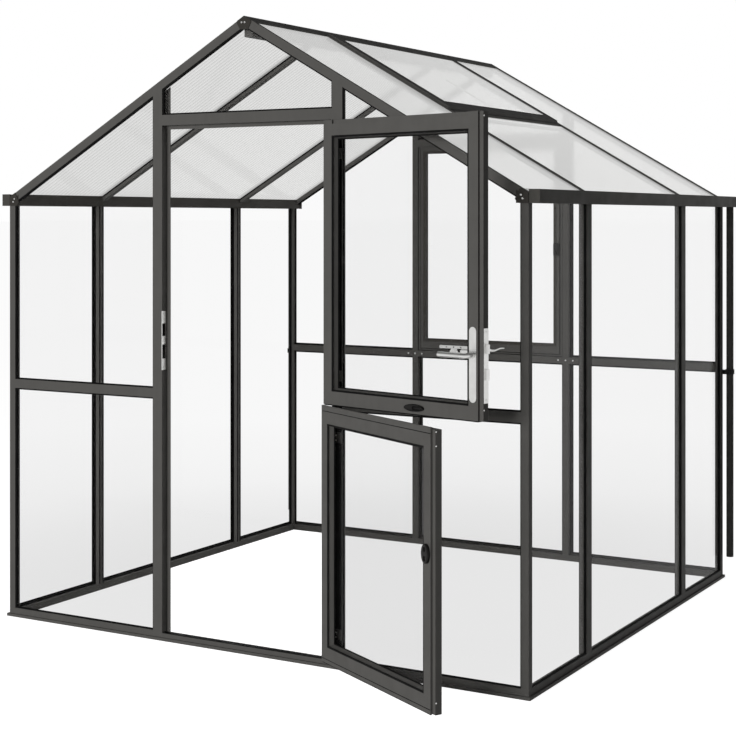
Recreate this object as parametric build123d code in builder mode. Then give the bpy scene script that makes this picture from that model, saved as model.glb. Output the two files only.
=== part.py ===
from build123d import *
import os
from math import atan2, cos, degrees, radians, sin, tan

# A small glass greenhouse: aluminium frame, glass walls, twin-wall roof sheets, a roof vent,
# a back window and a stable door whose two leaves stand open.
# Sizes are in millimetres. The origin is under the middle of the front base rail, on the front
# face of the frame. X runs along the front, Y runs into the greenhouse and Z runs up.

# ---- Whole building ----
frame_width = 2284
frame_depth = 2108
eaves_height = 1654
roof_pitch = 30

# ---- Glass and the profiles that hold it ----
flange_depth = 8
glass_thickness = 4
bar_depth = 34
glass_edge_gap = 2
bar_face_width = 46
bar_web_width = 10
bar_body_width = 30

# ---- Base rail ----
base_height = 27
base_foot_reach = 8
base_foot_height = 11
base_upstand = 7
base_depth = 34

# ---- Corner posts ----
post_face_width = 28
post_web_width = 18
post_depth = 28

# ---- Wall bars ----
side_bar_offset = 521.5
back_bar_offset = 398.5
mid_rail_height = 938
mid_rail_face = 36

# ---- Doorway and window opening ----
doorway_width = 754
header_rise = 301
header_face = 40
header_groove = 28
header_body = 35
header_stop_drop = 14
jamb_face_width = 43
jamb_web_width = 28
jamb_body_width = 33
jamb_stop_reach = 15
stop_depth = 32
stop_thickness = 3
hinge_stop_gap = 5

# ---- Roof ----
eaves_beam_width = 47
eaves_beam_edge = 17.6
cap_thickness = 5
sheet_thickness = 10
sheet_gap = 1
rafter_cap_width = 16
rafter_web_width = 8
rafter_body_depth = 28
rafter_depth = 32
rafter_glass_pocket = 8
apex_gap = 1
roof_bar_cap_width = 24
roof_bar_shift = 8
roof_bar_web_width = 8
roof_bar_depth = 32
ridge_cap_reach = 38
ridge_beam_width = 36
ridge_beam_drop = 75

# ---- Roof vent ----
vent_length = 1044
vent_reach = 571
vent_side_rail = 46
vent_end_rail = 40
vent_height = 9
vent_sheet_thickness = 6
trimmer_overhang = 13
trimmer_width = 30
trimmer_depth = 32
trimmer_upstand_width = 24
vent_stay_length = 256
vent_stay_width = 16
vent_stay_thickness = 6

# ---- Joint plates on the gables ----
joint_plate_thickness = 3
joint_plate_width = 50
joint_plate_shoulder = 30
joint_plate_toe = 40
joint_plate_heel = 14
apex_plate_width = 62
apex_plate_height = 50
apex_plate_foot = 35
apex_plate_shoulder = 26

# ---- Rainwater ----
gutter_width = 40
gutter_height = 47
gutter_wall = 3
gutter_inner_height = 15
gutter_overrun = 98
pipe_diameter = 31.5
pipe_wall = 2
pipe_foot_height = 89
pipe_stand_off = 31
pipe_gutter_offset = 23
clip_height = 21
clip_level = 917
clip_thickness = 4

# ---- Window ----
sash_frame_width = 16
sash_frame_sill = 13
sash_depth = 24
sash_stile = 29
sash_bottom_rail = 48
sash_top_rail = 33
sash_gap = 2
frame_strip_depth = 18
window_pane_setback = 14
stay_start = -261
stay_length = 349
stay_width = 18
stay_thickness = 8
peg_plate_start = -212
peg_plate_length = 68
knob_length = 60
knob_width = 16
knob_depth = 16
knob_inset = 12

# ---- Door leaves ----
hinge_x = 371
hinge_y = -4
upper_angle = 165.9
lower_angle = 150.4
leaf_thickness = 32
leaf_edge_gap = 10.5
lock_edge_gap = 13.5
leaf_stile = 42
leaf_lip_depth = 24
leaf_lip_width = 14
leaf_lock_lip = 16.2
lock_stile = 42
leaf_glass_setback = 24
leaf_glass_pocket = 6
leaf_bead_width = 9
leaf_bead_edge = 1.5
leaf_bead_setback = 1
leaf_top_gap = 5
threshold_gap = 5
upper_leaf_bottom = 945.5
upper_top_rail = 57
upper_bottom_rail = 48
lower_leaf_top = 934
lower_fin_height = 6.5
lower_strip_groove = 1.5
lower_top_rail = 58
lower_bottom_rail = 58

# ---- Door fittings ----
hinge_radius = 4
hinge_pin_radius = 2
hinge_bore_gap = 0.3
hinge_half_height = 35
hinge_half_gap = 0.25
hinge_flap_reach = 32
hinge_flap_thickness = 2
hinge_levels_upper = (1060, 1850)
hinge_levels_lower = (140, 840)
plate_width = 30
plate_length = 246
plate_level = 1127
plate_thickness = 2.5
lever_level = 1158
lever_radius = 9
lever_stand_off = 43
lever_length = 112
lever_bend_radius = 16
spindle_radius = 5
spindle_gap = 0.5
faceplate_thickness = 2
faceplate_width = 22
faceplate_length = 243
faceplate_level = 1124.5
bolt_throw = 10
latch_size = (12, 30)
latch_level = 1179
deadbolt_size = (10, 36)
deadbolt_level = 1096
strike_width = 25
strike_length = 224
strike_level = 1138
strike_thickness = 2
strike_slot_width = 20
strike_slot_margin = 9
strike_pocket_depth = 20
grip_thickness = 12
upper_grip_along = 442
upper_grip_level = 967
upper_grip_size = (86, 26)
lower_grip_level = 538
lower_grip_size = (40, 64)

# ---- Derived sizes ----
half_width = frame_width / 2
glass_back = flange_depth + glass_thickness
header_height = eaves_height + header_rise
half_doorway = doorway_width / 2
jamb_stop_x = half_doorway - jamb_stop_reach
pitch = radians(roof_pitch)
sheet_bottom = cap_thickness + sheet_thickness
ridge_height = eaves_height + eaves_beam_edge + sheet_bottom / cos(pitch) + half_width * tan(pitch)
beam_inner_x = half_width - eaves_beam_width
bar_positions = (frame_depth / 2 - side_bar_offset, frame_depth / 2 + side_bar_offset)
roof_bar_positions = tuple(position + roof_bar_shift for position in bar_positions)
mid_rail_span = (mid_rail_height - mid_rail_face / 2, mid_rail_height + mid_rail_face / 2)
mid_body_span = (mid_rail_height - bar_body_width / 2, mid_rail_height + bar_body_width / 2)
mid_web_span = (mid_rail_height - bar_web_width / 2, mid_rail_height + bar_web_width / 2)
window_half = back_bar_offset - bar_body_width / 2
sides = (-1, 1)

os.makedirs("parts", exist_ok=True)


def finish(part, name):
    """Label a finished piece and write it to its own file."""
    part.label = name
    export_step(part, f"parts/{name}.step")


# ---- Shapes that are used again and again ----
def block(x_span, y_span, z_span, mode=Mode.ADD):
    """Fill three (low, high) spans in the open part."""
    spans = (x_span, y_span, z_span)
    middle = tuple((low + high) / 2 for low, high in spans)
    size = tuple(high - low for low, high in spans)
    with Locations(middle):
        Box(*size, mode=mode)


def prism(plane, outline, length, mode=Mode.ADD):
    """Extrude a closed outline, drawn on a plane, along the plane's normal."""
    with BuildSketch(plane) as profile:
        with BuildLine():
            Polyline(*outline, close=True)
        make_face()
    extrude(profile.sketch, amount=length, mode=mode)


def prism_up(outline, z_span, mode=Mode.ADD):
    """Extrude a plan outline of (x, y) points between two heights."""
    low, high = z_span
    prism(Plane.XY.offset(low), outline, high - low, mode)


def prism_along_y(outline, y_span, mode=Mode.ADD):
    """Extrude an outline of (x, z) points between two distances from the front."""
    near, far = y_span
    prism(Plane.XZ.offset(-far), outline, far - near, mode)


def mirrored(side, span):
    """Turn a span of distances from the middle plane into one on the given side."""
    near, far = span
    return (near, far) if side > 0 else (-far, -near)


def depth_span(wall, span):
    """Turn a span of depths behind the outer face of the front or back wall into Y values."""
    near, far = span
    return (near, far) if wall == "front" else (frame_depth - far, frame_depth - near)


def roof_height(x, depth=0):
    """Height of the roof at x, at a depth measured square to its outer plane."""
    return ridge_height - abs(x) * tan(pitch) - depth / cos(pitch)


def slope_slab(side, x_span, depths, y_span, mode=Mode.ADD):
    """Add a slab that follows one slope between two depths under the roof's outer plane."""
    near, far = x_span
    top, bottom = depths
    outline = [
        (side * near, roof_height(near, top)),
        (side * far, roof_height(far, top)),
        (side * far, roof_height(far, bottom)),
        (side * near, roof_height(near, bottom)),
    ]
    prism_along_y(outline, y_span, mode)


def cut_above_rafters(y_span):
    """Cut away all that stands above the underside of the gable rafters."""
    top = ridge_height + rafter_depth
    outline = [
        (-half_width, roof_height(half_width, rafter_depth)),
        (0, roof_height(0, rafter_depth)),
        (half_width, roof_height(half_width, rafter_depth)),
        (half_width, top),
        (-half_width, top),
    ]
    prism_along_y(outline, y_span, Mode.SUBTRACT)


def bar_outline(centre):
    """Section of a glazing bar: face outside the glass, web beside it, body inside."""
    half_face = bar_face_width / 2
    half_web = bar_web_width / 2
    half_body = bar_body_width / 2
    right_half = [
        (half_face, 0),
        (half_face, flange_depth),
        (half_web, flange_depth),
        (half_web, glass_back),
        (half_body, glass_back),
        (half_body, bar_depth),
    ]
    left_half = [(-along, depth) for along, depth in reversed(right_half)]
    return [(centre + along, depth) for along, depth in right_half + left_half]


# ---- Base rails ----
def base_foot(x_span, y_span):
    """Add the flange at the bottom of a base rail, outside the frame's face."""
    block(x_span, y_span, (0, base_foot_height))


upstand_span = (base_height, base_height + base_upstand)
front_bay = (half_doorway + jamb_face_width, half_width - post_face_width)
back_side_bay = (back_bar_offset + bar_face_width / 2, half_width - post_face_width)
back_middle_bay = (bar_face_width / 2 - back_bar_offset, back_bar_offset - bar_face_width / 2)
side_edges = [post_face_width]
for position in bar_positions:
    side_edges += [position - bar_face_width / 2, position + bar_face_width / 2]
side_edges.append(frame_depth - post_face_width)
side_bays = list(zip(side_edges[0::2], side_edges[1::2]))
foot_half = half_width + base_foot_reach

with BuildPart() as base_front:
    block((-half_width, half_width), (0, base_depth), (0, base_height))
    base_foot((-foot_half, foot_half), (-base_foot_reach, 0))
    for side in sides:
        block(mirrored(side, front_bay), (0, flange_depth), upstand_span)
finish(base_front.part, "base_front")

with BuildPart() as base_back:
    block((-half_width, half_width), (frame_depth - base_depth, frame_depth), (0, base_height))
    base_foot((-foot_half, foot_half), (frame_depth, frame_depth + base_foot_reach))
    for side in sides:
        block(mirrored(side, back_side_bay), depth_span("back", (0, flange_depth)), upstand_span)
    block(back_middle_bay, depth_span("back", (0, flange_depth)), upstand_span)
finish(base_back.part, "base_back")

with BuildPart() as base_sides:
    for side in sides:
        inner_x = half_width - base_depth
        block(mirrored(side, (inner_x, half_width)), (base_depth, frame_depth - base_depth), (0, base_height))
        base_foot(mirrored(side, (half_width, foot_half)), (0, frame_depth))
        for bay in side_bays:
            block(mirrored(side, (half_width - flange_depth, half_width)), bay, upstand_span)
finish(base_sides.part, "base_sides")


# ---- Corner posts ----
def corner_post(side, wall):
    """Add one corner post: two faces outside the glass, two pockets for it and a body inside."""
    outline = [
        (0, 0),
        (post_face_width, 0),
        (post_face_width, flange_depth),
        (post_web_width, flange_depth),
        (post_web_width, glass_back),
        (post_depth, glass_back),
        (post_depth, post_depth),
        (glass_back, post_depth),
        (glass_back, post_web_width),
        (flange_depth, post_web_width),
        (flange_depth, post_face_width),
        (0, post_face_width),
    ]
    placed = [
        (side * (half_width - across), behind if wall == "front" else frame_depth - behind)
        for across, behind in outline
    ]
    prism_up(placed, (base_height, eaves_height))


with BuildPart() as front_posts:
    for side in sides:
        corner_post(side, "front")
finish(front_posts.part, "front_posts")

with BuildPart() as back_posts:
    for side in sides:
        corner_post(side, "back")
finish(back_posts.part, "back_posts")


# ---- Wall bars and mid rails ----
with BuildPart() as side_bars:
    for side in sides:
        for position in bar_positions:
            placed = [(side * (half_width - depth), along) for along, depth in bar_outline(position)]
            prism_up(placed, (base_height, eaves_height))
finish(side_bars.part, "side_bars")

with BuildPart() as back_bars:
    for side in sides:
        placed = [(along, frame_depth - depth) for along, depth in bar_outline(side * back_bar_offset)]
        prism_up(placed, (base_height, ridge_height))
    cut_above_rafters((frame_depth - bar_depth, frame_depth))
    for side in sides:
        body = (back_bar_offset - bar_body_width / 2, back_bar_offset + bar_body_width / 2)
        block(mirrored(side, body), depth_span("back", (glass_back, bar_depth)), mid_body_span, Mode.SUBTRACT)
finish(back_bars.part, "back_bars")


def mid_rail_face_and_web(wall, face_span, web_span):
    """Add the outer face of a mid rail and the web that joins it to the body."""
    block(face_span, depth_span(wall, (0, flange_depth)), mid_rail_span)
    block(web_span, depth_span(wall, (flange_depth, glass_back)), mid_web_span)


front_rail_body = (half_doorway + jamb_body_width, half_width - post_depth)
front_rail_web = (half_doorway + jamb_web_width, half_width - post_web_width)
back_side_web = (back_bar_offset + bar_web_width / 2, half_width - post_web_width)
back_middle_web = (bar_web_width / 2 - back_bar_offset, back_bar_offset - bar_web_width / 2)

with BuildPart() as front_mid_rails:
    for side in sides:
        block(mirrored(side, front_rail_body), (glass_back, bar_depth), mid_body_span)
        mid_rail_face_and_web("front", mirrored(side, front_bay), mirrored(side, front_rail_web))
finish(front_mid_rails.part, "front_mid_rails")

with BuildPart() as back_mid_rail:
    rail_half = half_width - post_depth
    block((-rail_half, rail_half), depth_span("back", (glass_back, bar_depth)), mid_body_span)
    mid_rail_face_and_web("back", back_middle_bay, back_middle_web)
    for side in sides:
        mid_rail_face_and_web("back", mirrored(side, back_side_bay), mirrored(side, back_side_web))
finish(back_mid_rail.part, "back_mid_rail")


# ---- Doorway ----
header_top = header_height + header_face
groove_top = header_height + header_groove
body_top = header_height + header_body
stop_bottom = header_height - header_stop_drop
slot_height = {
    latch_level: latch_size[1] + 2 * strike_slot_margin,
    deadbolt_level: deadbolt_size[1] + 2 * strike_slot_margin,
}


def strike_slots(x_span):
    """Cut the two slots that the latch and the deadbolt enter."""
    slot_middle = leaf_lip_depth / 2
    slot_y = (slot_middle - strike_slot_width / 2, slot_middle + strike_slot_width / 2)
    for level, height in slot_height.items():
        block(x_span, slot_y, (level - height / 2, level + height / 2), Mode.SUBTRACT)


with BuildPart() as door_jambs:
    for side, stop_face in ((-1, stop_depth), (1, stop_depth + hinge_stop_gap)):
        outline = [
            (half_doorway, 0),
            (half_doorway + jamb_face_width, 0),
            (half_doorway + jamb_face_width, flange_depth),
            (half_doorway + jamb_web_width, flange_depth),
            (half_doorway + jamb_web_width, glass_back),
            (half_doorway + jamb_body_width, glass_back),
            (half_doorway + jamb_body_width, stop_face + stop_thickness),
            (jamb_stop_x, stop_face + stop_thickness),
            (jamb_stop_x, stop_face),
            (half_doorway, stop_face),
        ]
        prism_up([(side * x, y) for x, y in outline], (base_height, ridge_height))
    cut_above_rafters((0, stop_depth + hinge_stop_gap + stop_thickness))
    recess_x = (-half_doorway - strike_thickness, -half_doorway)
    strike_z = (strike_level - strike_length / 2, strike_level + strike_length / 2)
    block(recess_x, (0, strike_width), strike_z, Mode.SUBTRACT)
    strike_slots((-half_doorway - strike_pocket_depth, -half_doorway))
finish(door_jambs.part, "door_jambs")

with BuildPart() as strike_plate:
    block(recess_x, (0, strike_width), strike_z)
    strike_slots(recess_x)
finish(strike_plate.part, "strike_plate")

with BuildPart() as door_header:
    doorway = (-half_doorway, half_doorway)
    block(doorway, (0, flange_depth), (header_height, header_top))
    block(doorway, (flange_depth, glass_back), (header_height, groove_top))
    block(doorway, (glass_back, stop_depth), (header_height, body_top))
    block((-jamb_stop_x, jamb_stop_x), (stop_depth, stop_depth + stop_thickness), (stop_bottom, body_top))
finish(door_header.part, "door_header")


# ---- Back window ----
window_y = depth_span("back", (glass_back, glass_back + frame_strip_depth))
sash_half = window_half - sash_frame_width
sash_z = (mid_body_span[1] + sash_frame_sill, header_height - sash_gap)
sash_y = depth_span("back", (bar_depth - sash_depth, bar_depth))
glass_half = sash_half - sash_stile
window_glass_z = (sash_z[0] + sash_bottom_rail, sash_z[1] - sash_top_rail)
pane_face = bar_depth - window_pane_setback
window_glass_y = depth_span("back", (pane_face, pane_face + glass_thickness))

with BuildPart() as window_header:
    block(back_middle_bay, depth_span("back", (0, flange_depth)), (header_height, header_top))
    block(back_middle_web, depth_span("back", (flange_depth, glass_back)), (header_height, groove_top))
    block((-window_half, window_half), depth_span("back", (glass_back, bar_depth)), (header_height, body_top))
finish(window_header.part, "window_header")

with BuildPart() as window_frame:
    block((-window_half, window_half), window_y, (mid_body_span[1], header_height))
    block((-sash_half, sash_half), window_y, (sash_z[0], header_height), Mode.SUBTRACT)
finish(window_frame.part, "window_frame")

with BuildPart() as window_sash:
    block((-sash_half, sash_half), sash_y, sash_z)
    block((-glass_half, glass_half), sash_y, window_glass_z, Mode.SUBTRACT)
finish(window_sash.part, "window_sash")

with BuildPart() as window_glass:
    block((-glass_half, glass_half), window_glass_y, window_glass_z)
finish(window_glass.part, "window_glass")

stay_z = (sash_z[0] + sash_gap, sash_z[0] + sash_gap + stay_width)
stay_y = depth_span("back", (bar_depth, bar_depth + stay_thickness))
peg_z = (mid_rail_height, stay_z[0])
knob_level = (sash_z[0] + sash_z[1]) / 2
with BuildPart() as window_fittings:
    block((stay_start, stay_start + stay_length), stay_y, stay_z)
    block((peg_plate_start, peg_plate_start + peg_plate_length), stay_y, peg_z)
    with BuildSketch(Plane.XZ.offset(bar_depth - frame_depth)) as knob:
        with Locations((sash_half - knob_inset, knob_level)):
            SlotOverall(knob_length, knob_width, rotation=90)
    extrude(knob.sketch, amount=knob_depth)
finish(window_fittings.part, "window_fittings")


# ---- Eaves beams, gutters and downpipes ----
with BuildPart() as eaves_beams:
    for side in sides:
        outline = [
            (side * beam_inner_x, eaves_height),
            (side * half_width, eaves_height),
            (side * half_width, roof_height(half_width, sheet_bottom)),
            (side * beam_inner_x, roof_height(beam_inner_x, sheet_bottom)),
        ]
        prism_along_y(outline, (0, frame_depth))
finish(eaves_beams.part, "eaves_beams")

gutter_far = half_width + gutter_width
gutter_bottom = eaves_height - 1
gutter_top = gutter_bottom + gutter_height
gutter_end = frame_depth + gutter_overrun
pipe_x = half_width + pipe_gutter_offset
pipe_y = frame_depth + pipe_stand_off
pipe_bore = pipe_diameter / 2 - pipe_wall

with BuildPart() as gutters:
    for side in sides:
        channel = [
            (half_width, gutter_bottom),
            (gutter_far, gutter_bottom),
            (gutter_far, gutter_top),
            (gutter_far - gutter_wall, gutter_top),
            (gutter_far - gutter_wall, gutter_bottom + gutter_wall),
            (half_width + gutter_wall, gutter_bottom + gutter_wall),
            (half_width + gutter_wall, gutter_bottom + gutter_inner_height),
            (half_width, gutter_bottom + gutter_inner_height),
        ]
        prism_along_y([(side * x, z) for x, z in channel], (0, gutter_end))
        for cap_start in (0, gutter_end - gutter_wall):
            cap_y = (cap_start, cap_start + gutter_wall)
            block(mirrored(side, (half_width, gutter_far)), cap_y, (gutter_bottom, gutter_top))
        with Locations((side * pipe_x, pipe_y, gutter_bottom)):
            Cylinder(pipe_bore, 4 * gutter_wall, mode=Mode.SUBTRACT)
finish(gutters.part, "gutters")

with BuildPart() as downpipes:
    with BuildSketch(Plane.XY.offset(pipe_foot_height)):
        with Locations((-pipe_x, pipe_y), (pipe_x, pipe_y)):
            Circle(pipe_diameter / 2)
            Circle(pipe_bore, mode=Mode.SUBTRACT)
    extrude(amount=gutter_bottom - pipe_foot_height)
finish(downpipes.part, "downpipes")

clip_z = (clip_level - clip_height / 2, clip_level + clip_height / 2)
with BuildPart() as pipe_clips:
    for side in sides:
        post_side = half_width - post_face_width / 2
        plate_y = (frame_depth, frame_depth + clip_thickness)
        neck_y = (frame_depth, pipe_y - pipe_diameter / 2)
        block(mirrored(side, (post_side, pipe_x + clip_thickness)), plate_y, clip_z)
        block(mirrored(side, (pipe_x - clip_thickness, pipe_x + clip_thickness)), neck_y, clip_z)
    with BuildSketch(Plane.XY.offset(clip_z[0])):
        with Locations((-pipe_x, pipe_y), (pipe_x, pipe_y)):
            Circle(pipe_diameter / 2 + clip_thickness)
    extrude(amount=clip_height)
    with BuildSketch(Plane.XY.offset(clip_z[0])):
        with Locations((-pipe_x, pipe_y), (pipe_x, pipe_y)):
            Circle(pipe_diameter / 2)
    extrude(amount=clip_height, mode=Mode.SUBTRACT)
finish(pipe_clips.part, "pipe_clips")


# ---- Ridge, rafters and roof bars ----
with BuildPart() as ridge_beam:
    cap = [
        (-ridge_cap_reach, roof_height(ridge_cap_reach)),
        (0, roof_height(0)),
        (ridge_cap_reach, roof_height(ridge_cap_reach)),
        (ridge_cap_reach, roof_height(ridge_cap_reach, cap_thickness)),
        (0, roof_height(0, cap_thickness)),
        (-ridge_cap_reach, roof_height(ridge_cap_reach, cap_thickness)),
    ]
    prism_along_y(cap, (0, frame_depth))
    half_beam = ridge_beam_width / 2
    beam_bottom = ridge_height - ridge_beam_drop
    body = [
        (-half_beam, beam_bottom),
        (half_beam, beam_bottom),
        (half_beam, roof_height(half_beam, cap_thickness)),
        (0, roof_height(0, cap_thickness)),
        (-half_beam, roof_height(half_beam, cap_thickness)),
    ]
    prism_along_y(body, (rafter_body_depth, frame_depth - rafter_body_depth))
finish(ridge_beam.part, "ridge_beam")


def gable_rafter(side, wall):
    """Add one sloping rafter of a gable: cap over the sheets, groove for the glass, body inside."""
    from_apex = apex_gap / 2
    glass_top = rafter_depth - rafter_glass_pocket
    cap_y = depth_span(wall, (0, rafter_cap_width))
    slope_slab(side, (ridge_cap_reach, half_width), (0, cap_thickness), cap_y)
    web_y = depth_span(wall, (0, rafter_web_width))
    slope_slab(side, (from_apex, half_width), (cap_thickness, sheet_bottom), web_y)
    for depths, bottom in (
        ((0, flange_depth), rafter_depth),
        ((flange_depth, glass_back), glass_top),
        ((glass_back, rafter_body_depth), rafter_depth),
    ):
        slope_slab(side, (from_apex, beam_inner_x), (sheet_bottom, bottom), depth_span(wall, depths))


with BuildPart() as front_rafters:
    for side in sides:
        gable_rafter(side, "front")
finish(front_rafters.part, "front_rafters")

with BuildPart() as back_rafters:
    for side in sides:
        gable_rafter(side, "back")
finish(back_rafters.part, "back_rafters")


def centred(middle, width):
    """Give the span of a width about a middle."""
    return (middle - width / 2, middle + width / 2)


with BuildPart() as roof_bars:
    for side in sides:
        for position in roof_bar_positions:
            cap_y = centred(position, roof_bar_cap_width)
            web_y = centred(position, roof_bar_web_width)
            body_y = centred(position, bar_body_width)
            slope_slab(side, (ridge_cap_reach, half_width), (0, cap_thickness), cap_y)
            slope_slab(side, (half_beam, half_width), (cap_thickness, sheet_bottom), web_y)
            slope_slab(side, (half_beam, beam_inner_x), (sheet_bottom, roof_bar_depth), body_y)
finish(roof_bars.part, "roof_bars")

web_edge = roof_bar_web_width / 2 + sheet_gap
sheet_edges = [rafter_web_width + sheet_gap]
for position in roof_bar_positions:
    sheet_edges += [position - web_edge, position + web_edge]
sheet_edges.append(frame_depth - rafter_web_width - sheet_gap)
sheet_bays = list(zip(sheet_edges[0::2], sheet_edges[1::2]))
sheet_layer = (cap_thickness, sheet_bottom)
sheet_start = half_beam + glass_edge_gap
trimmer_end = vent_reach + trimmer_overhang
trimmer_x = (trimmer_end - trimmer_width, trimmer_end)
upstand_x = (trimmer_end - trimmer_upstand_width, trimmer_end)

with BuildPart() as roof_sheets:
    for side in sides:
        for number, bay in enumerate(sheet_bays):
            under_vent = side > 0 and number == 1
            start = upstand_x[1] + sheet_gap if under_vent else sheet_start
            slope_slab(side, (start, half_width), sheet_layer, bay)
finish(roof_sheets.part, "roof_sheets")


# ---- Roof vent ----
vent_y = centred(frame_depth / 2, vent_length)
vent_x = (ridge_cap_reach + glass_edge_gap, vent_reach)
light_y = (vent_y[0] + vent_side_rail, vent_y[1] - vent_side_rail)
light_x = (vent_x[0] + vent_end_rail, vent_x[1] - vent_end_rail)

with BuildPart() as vent_frame:
    slope_slab(1, vent_x, (-vent_height, 0), vent_y)
    slope_slab(1, light_x, (-vent_height, 0), light_y, Mode.SUBTRACT)
finish(vent_frame.part, "vent_frame")

with BuildPart() as vent_sheet:
    sheet_top = glass_edge_gap - vent_height
    slope_slab(1, light_x, (sheet_top, sheet_top + vent_sheet_thickness), light_y)
finish(vent_sheet.part, "vent_sheet")

with BuildPart() as vent_trimmer:
    near, far = roof_bar_positions
    body_y = (near + bar_body_width / 2, far - bar_body_width / 2)
    upstand_y = (near + roof_bar_cap_width / 2, far - roof_bar_cap_width / 2)
    slope_slab(1, trimmer_x, (sheet_bottom, trimmer_depth), body_y)
    slope_slab(1, upstand_x, (0, sheet_bottom), upstand_y)
finish(vent_trimmer.part, "vent_trimmer")

with BuildPart() as vent_stay:
    stay_end = trimmer_x[0] - glass_edge_gap
    stay_x = (stay_end - vent_stay_length, stay_end)
    slope_slab(1, stay_x, (0, vent_stay_thickness), centred(frame_depth / 2, vent_stay_width))
finish(vent_stay.part, "vent_stay")


# ---- Wall glass ----
pane_bottom = base_height + glass_edge_gap
rail_below = mid_rail_height - bar_web_width / 2 - glass_edge_gap
rail_above = mid_rail_height + bar_web_width / 2 + glass_edge_gap
pane_top_depth = rafter_depth - rafter_glass_pocket + glass_edge_gap


def gable_side_pane(wall, side, x_span):
    """Add a pane beside a corner: up to the rafter, and under the eaves beam next to the post."""
    near, far = x_span
    beam_edge = beam_inner_x - glass_edge_gap
    outline = [
        (near, rail_above),
        (far, rail_above),
        (far, eaves_height - glass_edge_gap),
        (beam_edge, eaves_height - glass_edge_gap),
        (beam_edge, roof_height(beam_edge, pane_top_depth)),
        (near, roof_height(near, pane_top_depth)),
    ]
    prism_along_y([(side * x, z) for x, z in outline], depth_span(wall, (flange_depth, glass_back)))


def gable_middle_pane(wall, half):
    """Add the pane between a header and the apex."""
    outline = [
        (-half, groove_top + glass_edge_gap),
        (half, groove_top + glass_edge_gap),
        (half, roof_height(half, pane_top_depth)),
        (0, roof_height(0, pane_top_depth)),
        (-half, roof_height(half, pane_top_depth)),
    ]
    prism_along_y(outline, depth_span(wall, (flange_depth, glass_back)))


front_pane = (front_rail_web[0] + glass_edge_gap, front_rail_web[1] - glass_edge_gap)
back_pane = (back_side_web[0] + glass_edge_gap, back_side_web[1] - glass_edge_gap)
back_middle_pane = back_middle_web[1] - glass_edge_gap

with BuildPart() as front_glass:
    for side in sides:
        block(mirrored(side, front_pane), (flange_depth, glass_back), (pane_bottom, rail_below))
        gable_side_pane("front", side, front_pane)
    gable_middle_pane("front", half_doorway - glass_edge_gap)
finish(front_glass.part, "front_glass")

with BuildPart() as back_glass:
    back_y = depth_span("back", (flange_depth, glass_back))
    for side in sides:
        block(mirrored(side, back_pane), back_y, (pane_bottom, rail_below))
        gable_side_pane("back", side, back_pane)
    block((-back_middle_pane, back_middle_pane), back_y, (pane_bottom, rail_below))
    gable_middle_pane("back", back_middle_pane)
finish(back_glass.part, "back_glass")

half_web = bar_web_width / 2 + glass_edge_gap
pane_edges = [post_web_width + glass_edge_gap]
for position in bar_positions:
    pane_edges += [position - half_web, position + half_web]
pane_edges.append(frame_depth - post_web_width - glass_edge_gap)

with BuildPart() as side_glass:
    for side in sides:
        pane_x = mirrored(side, (half_width - glass_back, half_width - flange_depth))
        for pane_y in zip(pane_edges[0::2], pane_edges[1::2]):
            block(pane_x, pane_y, (pane_bottom, eaves_height - glass_edge_gap))
finish(side_glass.part, "side_glass")


# ---- Joint plates on the gables ----
plate_faces = ((-joint_plate_thickness, 0), (frame_depth, frame_depth + joint_plate_thickness))
with BuildPart() as corner_plates:
    for plate_y in plate_faces:
        for side in sides:
            shoulder_x = half_width - joint_plate_shoulder
            outline = [
                (half_width, gutter_bottom),
                (half_width, roof_height(half_width)),
                (shoulder_x, roof_height(shoulder_x)),
                (half_width - joint_plate_width, eaves_height + joint_plate_heel),
                (half_width - joint_plate_toe, eaves_height),
                (shoulder_x, gutter_bottom),
            ]
            prism_along_y([(side * x, z) for x, z in outline], plate_y)
        half_plate = apex_plate_width / 2
        half_foot = apex_plate_foot / 2
        apex = [
            (-half_foot, ridge_height - apex_plate_height),
            (half_foot, ridge_height - apex_plate_height),
            (half_plate, ridge_height - apex_plate_shoulder),
            (half_plate, roof_height(half_plate)),
            (0, roof_height(0)),
            (-half_plate, roof_height(half_plate)),
            (-half_plate, ridge_height - apex_plate_shoulder),
        ]
        prism_along_y(apex, plate_y)
finish(corner_plates.part, "corner_plates")


# ---- Door leaves ----
# A leaf is drawn on its own plane: local X runs from the hinge axis to the lock edge, local Y
# points out of the leaf's outer face, and the plane is turned about the hinge axis.
outer_face = hinge_y
inner_face = hinge_y - leaf_thickness
lip_face = inner_face + leaf_thickness - leaf_lip_depth
glass_inner = inner_face + leaf_glass_setback
glass_outer = glass_inner + glass_thickness
hinge_edge = hinge_x - half_doorway + leaf_edge_gap
hinge_stile_inner = hinge_edge + leaf_stile
lock_edge = hinge_x + half_doorway - lock_edge_gap
lock_face_edge = lock_edge - leaf_lock_lip
lock_stile_inner = lock_face_edge - lock_stile
upper_leaf_top = header_height - leaf_top_gap
lower_leaf_bottom = base_height + threshold_gap


def leaf_plane(angle, height=0):
    """Plane of a leaf that stands open by an angle, at a height."""
    turn = radians(angle)
    return Plane(origin=(hinge_x, hinge_y, height), x_dir=(-cos(turn), -sin(turn), 0), z_dir=(0, 0, 1))


def leaf_prism(angle, outline, z_span, mode=Mode.ADD):
    """Extrude an outline on a leaf's plane between two heights."""
    low, high = z_span
    prism(leaf_plane(angle, low), outline, high - low, mode)


def leaf_block(angle, along_span, depths, z_span, mode=Mode.ADD):
    """Fill a box in a leaf's own directions."""
    start, end = along_span
    inside, outside = depths
    outline = [(start, inside), (end, inside), (end, outside), (start, outside)]
    leaf_prism(angle, outline, z_span, mode)


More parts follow.
